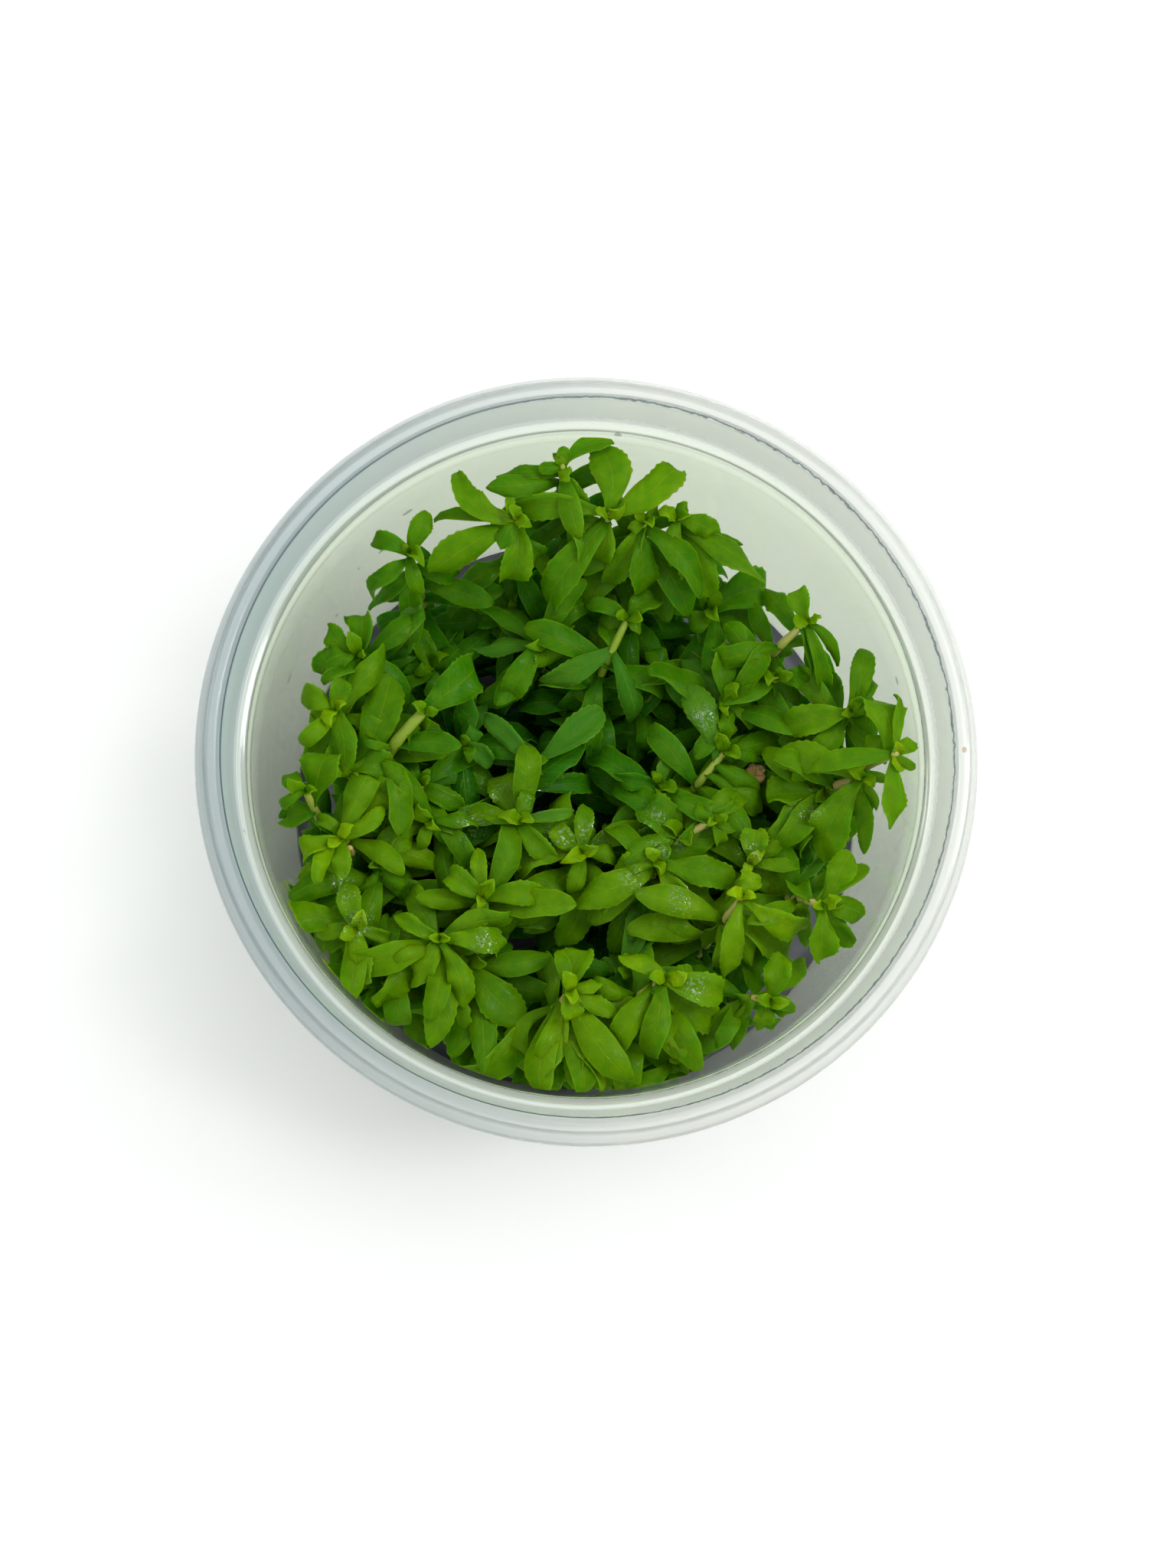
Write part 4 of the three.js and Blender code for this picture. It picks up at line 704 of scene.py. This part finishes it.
def stemCurve(foot, tip, lean=plantLook["leanEarly"]):
    start = np.array([foot[0], foot[1], plantLook["stemRoot"]])
    end = insideWall(seenAt(*tip), solidLeaf["wallClearance"] + plantLook["stemRadius"])
    bend = start + (end - start) * lean[0]
    bend[2] = start[2] + (end[2] - start[2]) * lean[1]
    return start, bend, end


def leafCurve(start, end, arch, bow):
    flat = unit(np.array([end[0] - start[0], end[1] - start[1], 0]))
    across = np.array([flat[1], -flat[0], 0])
    bend = (start + end) / 2 + np.array([0, 0, 2 * arch]) + across * 2 * bow
    return (start, bend, end), across


# The solid's leaf may have bent up or down past a neighbour, and the visible leaf follows it.
def followSolid(stem, at, tip, arch, bow, solid):
    x, y, z = tip
    half = int(min(at, solidLeaf["highestLeaf"]) >= 0.5)
    ends = pointOn(stem, half / 2), pointOn(stem, (half + 1) / 2)
    start = ends[0] + (ends[1] - ends[0]) * (min(at, solidLeaf["highestLeaf"]) * 2 - half)
    best, found = 0, solidLeaf["close"]
    for lift in solidLeaf["lifts"]:
        end = insideWall(seenAt(x, y, z + lift), solidLeaf["wallClearance"])
        curve, across = leafCurve(start, end, arch, bow)
        forward = alongCurve(curve, 1.0)
        side = unit(across - forward * across.dot(forward))
        keel = end - solidLeaf["keel"] * np.cross(side, forward)
        distance = np.min(np.linalg.norm(solid - keel, axis=1))
        if distance < found:
            best, found = lift, distance
    return best


def newTuft():  # collects the points, faces and surface values of one plantlet
    return {"points": [], "faces": [], "map": [], "skins": [], "count": 0,
            **{label: [] for label in surfaceValues}}


def addToTuft(tuft, points, faces, leafMap, tone, blue, blush, skin):
    count, look = len(points), wetLook
    shown = points[:, :2] + (np.array(cameraLook["place"][:2]) - points[:, :2]) * (
        (sightHeight - points[:, 2]) / (cameraLook["place"][2] - points[:, 2]))[:, None]
    gaps = np.linalg.norm(shown[:, None, :] - np.array(look["places"])[None], axis=2).min(axis=1)
    high = np.clip((points[:, 2] - look["from"]) / look["fade"], 0, 1)
    wet = np.clip(look["strength"] - gaps / look["reach"] * look["strength"], 0, 1) * high
    tuft["points"].append(points)
    tuft["faces"] += [tuple(i + tuft["count"] for i in face) for face in faces]
    tuft["map"].append(leafMap)
    for label, value in zip(surfaceValues, (tone, blue, wet, blush)):
        tuft[label].append(np.broadcast_to(value, count))
    tuft["skins"] += [skin] * len(faces)
    tuft["count"] += count


def addLeaf(tuft, form, curve, across, width, draw, tone, blue, cupped=0.0):
    shape = leafShape
    flat = form["points"]
    along = np.clip(flat[:, 1], 0, 1)
    share = np.interp(along, form["rows"][:, 0], form["rows"][:, 1])
    outward = np.clip(flat[:, 0] / share, -1.1, 1.1)
    length = np.linalg.norm(curve[2] - curve[0])
    forward = alongCurve(curve, along)
    side = unit(across - forward * (forward @ across)[:, None])
    up = np.cross(side, forward)
    roll = math.radians(draw.uniform(-1, 1) * shape["roll"]) * along
    turn = math.radians(draw.uniform(-1, 1) * shape["roll"]) * along ** 2 + roll
    side, up = (side * np.cos(turn)[:, None] + up * np.sin(turn)[:, None],
                up * np.cos(turn)[:, None] - side * np.sin(turn)[:, None])
    halfWidth = np.maximum(share * width / 2, shape["petiole"] / 2 * np.clip(1.5 - along, 0, 1))
    fold = shape["fold"] * (draw.uniform(*shape["foldRange"]) + cupped)
    strong = shape["strongCurl"] if draw.random() < shape["curledShare"] else 0
    drop = shape["tipCurl"] * (draw.uniform(*shape["curlRange"]) + strong) * length
    phase, ripples = draw.uniform(0, 2 * math.pi), draw.uniform(*shape["ripples"])
    wave = shape["waviness"] * width * draw.uniform(*shape["waveRange"])
    lean = draw.uniform(-shape["sway"], shape["sway"])
    curled = np.clip((along - shape["curlFrom"]) / (1 - shape["curlFrom"]), 0, 1)
    height = (np.abs(outward) ** shape["foldCurve"] * halfWidth * fold * 2
              + wave * outward ** 2 * np.sin(2 * math.pi * ripples * along + phase + 2 * np.sign(outward))
              - drop * curled ** 2)
    foot = shape["thickFoot"]
    body = np.where(along < foot, 1 + foot - along, 1.0)
    body *= 1 - shape["thinMargin"] * np.minimum(np.abs(outward), 1) ** 2
    height += np.sign(flat[:, 2]) * shape["thickness"] / 2 * body
    sway = lean * width / 2 * np.sin(math.pi * along) * (along > 0)
    points = (pointOn(curve, along) + side * (outward * halfWidth + sway)[:, None]
              + up * height[:, None])
    points = insideWall(points, shape["clearance"])
    points[:, 2] = settleTop(points[:, 2])
    leafMap = np.stack([0.5 + outward / 2, along], axis=1)
    under = np.where(flat[:, 2] < 0, shape["underBlue"], 0.0)
    # The foot of each leaf is painted darker, as painted shade
    shade = tone + shape["toneSwing"] * np.sin(3 * along + phase) - shape["paintedFootShade"] * (along < 0.2)
    addToTuft(tuft, points, form["faces"], leafMap, shade, np.clip(blue + under, 0, 1), 0.0, 0)


def addStem(tuft, form, curve, radius, blush):
    look, flat = plantLook, form["points"]
    along = np.clip(flat[:, 2], 0, 1)
    forward = alongCurve(curve, along)
    side = unit(np.array([1.0, 0, 0]) - forward * forward[:, :1])
    front = np.cross(forward, side)
    points = (pointOn(curve, along) + side * (flat[:, 0] * radius)[:, None]
              + front * (flat[:, 1] * radius)[:, None])
    shade = np.clip(blush * (look["blushAtFoot"] + look["blushRise"] * along), 0, 1)
    leafMap = np.stack([0.5 + flat[:, 0] / 2, along], axis=1)
    addToTuft(tuft, points, form["faces"], leafMap, look["stemTone"], 0.0, shade, 1)


def finishTuft(name, tuft, skins):
    mesh = bpy.data.meshes.new(name)
    mesh.from_pydata((np.concatenate(tuft["points"]) * mm).tolist(), [], tuft["faces"])
    for label in surfaceValues:
        layer = mesh.attributes.new(label, "FLOAT", "POINT")
        layer.data.foreach_set("value", np.concatenate(tuft[label]).astype(np.float32))
    corners = np.empty(len(mesh.loops), dtype=np.int32)
    mesh.loops.foreach_get("vertex_index", corners)
    leafMap = mesh.uv_layers.new(name="leafMap")
    leafMap.data.foreach_set("uv", np.concatenate(tuft["map"])[corners].astype(np.float32).ravel())
    for skin in skins:
        mesh.materials.append(skin)
    mesh.polygons.foreach_set("material_index", tuft["skins"])
    mesh.polygons.foreach_set("use_smooth", [True] * len(mesh.polygons))
    mesh.update()
    piece = bpy.data.objects.new(name, mesh)
    bpy.context.scene.collection.objects.link(piece)
    return piece


# Leaves are lighter and more yellow the higher they stand, partly because high leaves are younger and
# partly as painted shade on the low ones, which darken faster below turnsAt. Near the wall the low ones are
# lifted with painted light, the middle of the stand is darkened with painted shade, and leaves towards the
# front are more yellow. Places and sizes are in millimetres.
toneLook = {"usual": 0.44, "turnsAt": 34, "above": 0.014, "below": 0.03, "paintedWallLight": 0.92, "wallFrom": 24,
            "wallOver": 12, "towardsFront": 0.0014, "middle": (-1, 4), "middleSize": 14,
            "paintedMiddleShade": 0.1, "range": (0.02, 0.97)}


def leafToneAt(place, extra):
    look = toneLook
    x, y, z = place
    outer = min(max((math.hypot(x, y) - look["wallFrom"]) / look["wallOver"], 0), 1)
    # Below turnsAt leaves darken partly as painted shade, and less near the wall, as painted light coming
    # through it
    steepness = look["above"] if z > look["turnsAt"] else look["below"] * (1 - look["paintedWallLight"] * outer)
    rise = (z - look["turnsAt"]) * steepness
    # The middle of the stand is darkened with painted shade
    fromMiddle = (x - look["middle"][0]) ** 2 + (y - look["middle"][1]) ** 2
    middle = look["paintedMiddleShade"] * math.exp(-fromMiddle / look["middleSize"] ** 2)
    return float(np.clip(look["usual"] + rise - y * look["towardsFront"] - middle + extra, *look["range"]))


def growLeaf(plant, kind, root, end, arch, bow, width, tone, blue, cupped=0.0):
    curve, across = leafCurve(root, end, arch, bow)
    addLeaf(plant["tuft"], plant["forms"][kind], curve, across, width, plant["draw"], tone, blue, cupped)


# The leaves seen in the photo, each with a small chance difference in colour
seenLook = {"tone": 0.08, "blue": 0.05, "highestFoot": 0.99, "clearance": 0.4}


def growSeenLeaves(plant, number, plain, rows):
    look, draw = seenLook, plant["draw"]
    solid = np.array([vertex.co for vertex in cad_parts[plant["name"]].data.vertices]) / mm
    for index, (at, x, y, z, width, *bend) in enumerate(rows):
        arch, bow = (*bend, *usualBend[len(bend):])
        lift = followSolid(plain, at, (x, y, z), arch, bow, solid)
        end = insideWall(seenAt(x, y, z + lift), look["clearance"])
        kind = draw.choice(next(kinds for narrowest, kinds in leafKinds if width >= narrowest))
        tone = leafToneAt(end, plant["tone"] + draw.uniform(-look["tone"], look["tone"]))
        blue = blueLeaves.get(number, {}).get(index, draw.uniform(0, look["blue"]))
        root = pointOn(plant["stem"], min(at, look["highestFoot"]))
        growLeaf(plant, kind, root, end, arch, bow, width * leafShape["breadth"], tone, blue)


# Leaf pairs lower down fill the stand. Near the wall they keep to the inner side.
lowLook = {"pairs": (0.09, 0.15, 0.21, 0.27, 0.34, 0.41, 0.48, 0.55, 0.62, 0.69, 0.77, 0.85, 0.93),
           "bareFrom": 0.7, "turn": 0.3, "length": (7.5, 12.5), "breadth": 0.33, "rise": (-3.0, 4.5),
           "arch": (0.4, 2.2), "bow": 0.8, "leftOf": 5, "shorter": 0.55, "shorterAtFront": 0.1,
           "tone": (-0.1, 0.02), "blue": 0.15, "clearance": 0.6}


def growLowPairs(plant, facing, blushing):
    look, draw, stem = lowLook, plant["draw"], plant["stem"]
    for share in look["pairs"]:
        if blushing and share > look["bareFrom"]:
            continue
        root = pointOn(stem, share)
        facing += math.pi / 2 + draw.uniform(-look["turn"], look["turn"])
        for heading in (facing, facing + math.pi):
            towards = np.array([math.cos(heading), math.sin(heading), 0])
            fromAxis = np.linalg.norm(root[:2])
            outer = max(0, towards[:2].dot(root[:2]) / fromAxis) if fromAxis > plantLook["wallZone"] else 0
            atFront = root[0] < look["leftOf"] and root[1] < plantLook["wallFrom"]
            shorter = look["shorterAtFront"] if atFront else look["shorter"]
            reach = draw.uniform(*look["length"]) * (1 - outer * shorter)
            end = root + towards * reach + np.array([0, 0, draw.uniform(*look["rise"])])
            end = insideWall(end, look["clearance"])
            arch, bow = draw.uniform(*look["arch"]), draw.uniform(-look["bow"], look["bow"])
            tone = leafToneAt(end, plant["tone"] + draw.uniform(*look["tone"]))
            growLeaf(plant, "lower", root, end, arch, bow, reach * look["breadth"], tone,
                     draw.uniform(0, look["blue"]))
    return facing


# Leaves of a plantlet by the near wall that turn up against it
wallLook = {"places": (0.36, 0.46, 0.55, 0.64, 0.72, 0.8, 0.87, 0.94), "turn": 0.9,
            "length": (10.0, 14.5), "rise": (0.0, 6.0), "arch": (0.2, 1.2), "leftOf": 16.0,
            "highest": 42.0, "darker": (0.02, 0.1)}


def growWallLeaves(plant):
    look, draw, stem = wallLook, plant["draw"], plant["stem"]
    for share in look["places"]:
        root = pointOn(stem, share)
        heading = math.atan2(root[1], root[0]) + draw.uniform(-look["turn"], look["turn"])
        reach = draw.uniform(*look["length"])
        end = root + np.array([math.cos(heading) * reach, math.sin(heading) * reach,
                               draw.uniform(*look["rise"])])
        end[2] = min(end[2], look["highest"])
        arch = draw.uniform(*look["arch"])
        tone = leafToneAt(end, plant["tone"] - draw.uniform(*look["darker"]))
        growLeaf(plant, "lower", root, end, arch, 0, reach * lowLook["breadth"], tone, 0.0)


# Small cupped leaves at the end of each stem
budLook = {"leaves": 2, "from": 0.985, "turn": 0.4, "length": (2.4, 4.2), "breadth": 0.5, "spread": 0.6,
           "arch": 0.25, "cupped": 0.8, "tone": 0.16, "clearance": 0.5}


def growBud(plant, facing):
    look, draw, stem = budLook, plant["draw"], plant["stem"]
    for leaf in range(look["leaves"]):
        heading = facing + leaf * 2 * math.pi / look["leaves"] + draw.uniform(-look["turn"], look["turn"])
        reach = draw.uniform(*look["length"])
        end = stem[2] + np.array([math.cos(heading), math.sin(heading), 1]) * reach * look["spread"]
        end[2] = min(end[2], plantLook["highest"])
        tone = leafToneAt(end, plant["tone"] + look["tone"])
        growLeaf(plant, "young", pointOn(stem, look["from"]), insideWall(end, look["clearance"]),
                 look["arch"], 0, reach * look["breadth"], tone, 0.0, look["cupped"])


def growPlantlet(number, foot, tip, rows, forms, stemForm, skins):
    look, name = plantLook, f"shoot_{number:02d}"
    plain = stemCurve(foot, tip)
    stem = stemCurve(foot, tip, look["leanLate"]) if number in lateLeaning else plain
    plant = {"name": name, "draw": random.Random(name), "tuft": newTuft(), "stem": stem, "forms": forms,
             "tone": plantletTone.get(number, 0)}
    addStem(plant["tuft"], stemForm, stem, look["thickStems"].get(number, look["stemRadius"]),
            stemBlush.get(number, look["usualBlush"]))
    for *place, radius in bareStubs.get(number, ()):
        top = seenAt(*place)
        down = np.array([0, 0, look["stubLength"]])
        addStem(plant["tuft"], stemForm, (top - down, top - down / 2, top), radius, look["stubBlush"])
    growSeenLeaves(plant, number, plain, rows)
    facing = growLowPairs(plant, plant["draw"].uniform(0, 2 * math.pi), number in stemBlush)
    x, y = stem[0][:2]
    if math.hypot(x, y) > look["wallZone"] and x < wallLook["leftOf"] and y < look["wallFrom"]:
        growWallLeaves(plant)
    growBud(plant, facing)
    return finishTuft(f"plantlet_{number:02d}", plant["tuft"], skins), name


# The stub of a thick stem that was cut across: its end is lobed, sunk in the middle and cracked.
stubLook = {"foot": (21.5, -1.5), "tip": (22.9, -0.1, 36.5), "radius": 0.8, "endRadius": 1.5, "sides": 20,
            "furrow": 0.86, "lobeSteps": (5, 4), "rim": (0.35, 0.006), "hollow": (0.3, -0.016),
            "blush": 0.6, "cutFrom": 33.5}


def modelStubForm():
    size = stubLook
    grow = size["endRadius"] / size["radius"]
    profile = [(1.0, 0), (1.0, 0.3), (1.05, 0.6), (1.2, 0.82), (grow * 0.94, 0.92), (grow, 0.965),
               (grow * 0.97, 0.99), (grow * 0.8, 1.0)]
    stub = drawOutRings("stub_form", [(radius / mm, height / mm) for radius, height in profile],
                        size["sides"])
    bpy.context.view_layer.objects.active = stub
    bpy.ops.object.mode_set(mode="EDIT")
    for step in size["lobeSteps"]:  # furrows between the lobes
        selectWhere(stub, lambda co: co.z > 0.9 and round(
            math.degrees(math.atan2(co.y, co.x)) / (360 / size["sides"])) % size["sides"] % step == 0)
        bpy.ops.transform.resize(value=(size["furrow"], size["furrow"], 1), center_override=(0, 0, 0))
    bpy.ops.mesh.select_mode(type="FACE")
    bpy.ops.mesh.select_all(action="DESELECT")
    mesh = bmesh.from_edit_mesh(stub.data)
    for face in mesh.faces:
        face.select = face.calc_center_median().z > 0.9999
    bmesh.update_edit_mesh(stub.data)
    for inset, lift in (size["rim"], size["hollow"]):
        bpy.ops.mesh.inset(thickness=inset)
        bpy.ops.transform.translate(value=(0, 0, lift))
    bpy.ops.mesh.select_mode(type="VERT")
    bpy.ops.object.mode_set(mode="OBJECT")
    return takeForm(stub)


def makeStub(skins):
    look, tuft = stubLook, newTuft()
    addStem(tuft, modelStubForm(), stemCurve(look["foot"], look["tip"]), look["radius"], look["blush"])
    heights = np.concatenate(tuft["points"])[:, 2]
    tuft["skins"] = [0 if heights[list(face)].mean() > look["cutFrom"] else 1 for face in tuft["faces"]]
    return finishTuft("cut_stem_end", tuft, skins)


def settle(piece, node, slotName):
    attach(piece, "root")
    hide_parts(node)


def buildPieces():
    leafSkin, stemSkin = leafMaterial(), stemMaterial()
    cup, gel = makeCup(), makeGel()
    cup.data.materials.append(cupMaterial())
    gel.data.materials.append(gelMaterial())
    settle(cup, "cup", "cup_plastic")
    settle(gel, "gel", "culture_gel")
    print("cup and gel made")
    forms = {name: modelLeafForm(name, form) for name, form in leafForms.items()}
    stemForm = modelStemForm()
    print("leaf and stem forms modelled")
    for number, (foot, tip, rows) in plantlets.items():
        settle(*growPlantlet(number, foot, tip, rows, forms, stemForm, (leafSkin, stemSkin)), "plant")
    print(len(plantlets), "plantlets grown")
    settle(makeStub((cutEndMaterial(), stemSkin)), "cut_stem", "cut_stem_end")
    print("cut stem end made")


# Plain pale floor and soft studio light
stageLook = {
    "floor": "#fcfdfc", "roughness": 0.9, "grainSize": 3, "grainHeight": 0.2, "bump": 0.05,
    "floorSize": 4.0, "world": "#f4f6f5", "worldStrength": 0.94,
    "lamps": {"softBox": {"size": 0.7, "power": 3.0, "place": (0.65, 0.3, 0.9)},
              "bulb": {"size": 0.2, "power": 2.0, "place": (0.62, 0.1, 0.9)},
              "farBulb": {"size": 0.14, "power": 0.5, "place": (-0.6, 0.3, 0.9)}}}


def setStage():
    look = stageLook
    bpy.ops.object.select_all(action="DESELECT")
    bpy.ops.mesh.primitive_plane_add(size=look["floorSize"], location=(0, 0, 0))
    floor = bpy.context.object
    floor.name = "floor"
    material, add = newMaterial("mattePaper")
    place = add("TexCoord").outputs["Object"]
    grain = add("TexNoise", {"Scale": 1 / (look["grainSize"] * mm), "Vector": place})
    bump = add("Bump", {"Strength": look["bump"], "Distance": look["grainHeight"] * mm, "Height": grain})
    shader = add("BsdfPrincipled", {
        "Base Color": linearColour(look["floor"]), "Roughness": look["roughness"], "Normal": bump})
    add("OutputMaterial", {"Surface": shader})
    floor.data.materials.append(material)
    world = bpy.data.worlds.new("softRoom")
    bpy.context.scene.world = world
    world.use_nodes = True
    background = world.node_tree.nodes["Background"]
    background.inputs["Color"].default_value = linearColour(look["world"])
    background.inputs["Strength"].default_value = look["worldStrength"]
    for name, entry in look["lamps"].items():
        lampData = bpy.data.lights.new(name, "AREA")
        lampData.size, lampData.energy = entry["size"], entry["power"]
        lamp = bpy.data.objects.new(name, lampData)
        bpy.context.scene.collection.objects.link(lamp)
        lamp.location = entry["place"]
        lamp.rotation_euler = (-Vector(entry["place"])).to_track_quat("-Z", "Y").to_euler()


def setCamera():
    look = cameraLook
    place, target = Vector(look["place"]) * mm, Vector(look["target"]) * mm
    back = (place - target).normalized()
    up = (Vector((0, 1, 0)) - back * back.y).normalized()
    data = bpy.data.cameras.new("photoCamera")
    data.sensor_fit, data.sensor_height, data.lens = "VERTICAL", look["sensorHeight"], look["lens"]
    data.clip_start = look["clipStart"]
    camera = bpy.data.objects.new("photoCamera", data)
    turned = Matrix((up.cross(back), up, back)).transposed().to_4x4()
    camera.matrix_world = Matrix.Translation(place) @ turned
    bpy.context.scene.collection.objects.link(camera)
    bpy.context.scene.camera = camera
    bpy.context.scene.view_settings.view_transform = "Standard"


buildPieces()
setStage()
setCamera()
print("stage, light and camera set")
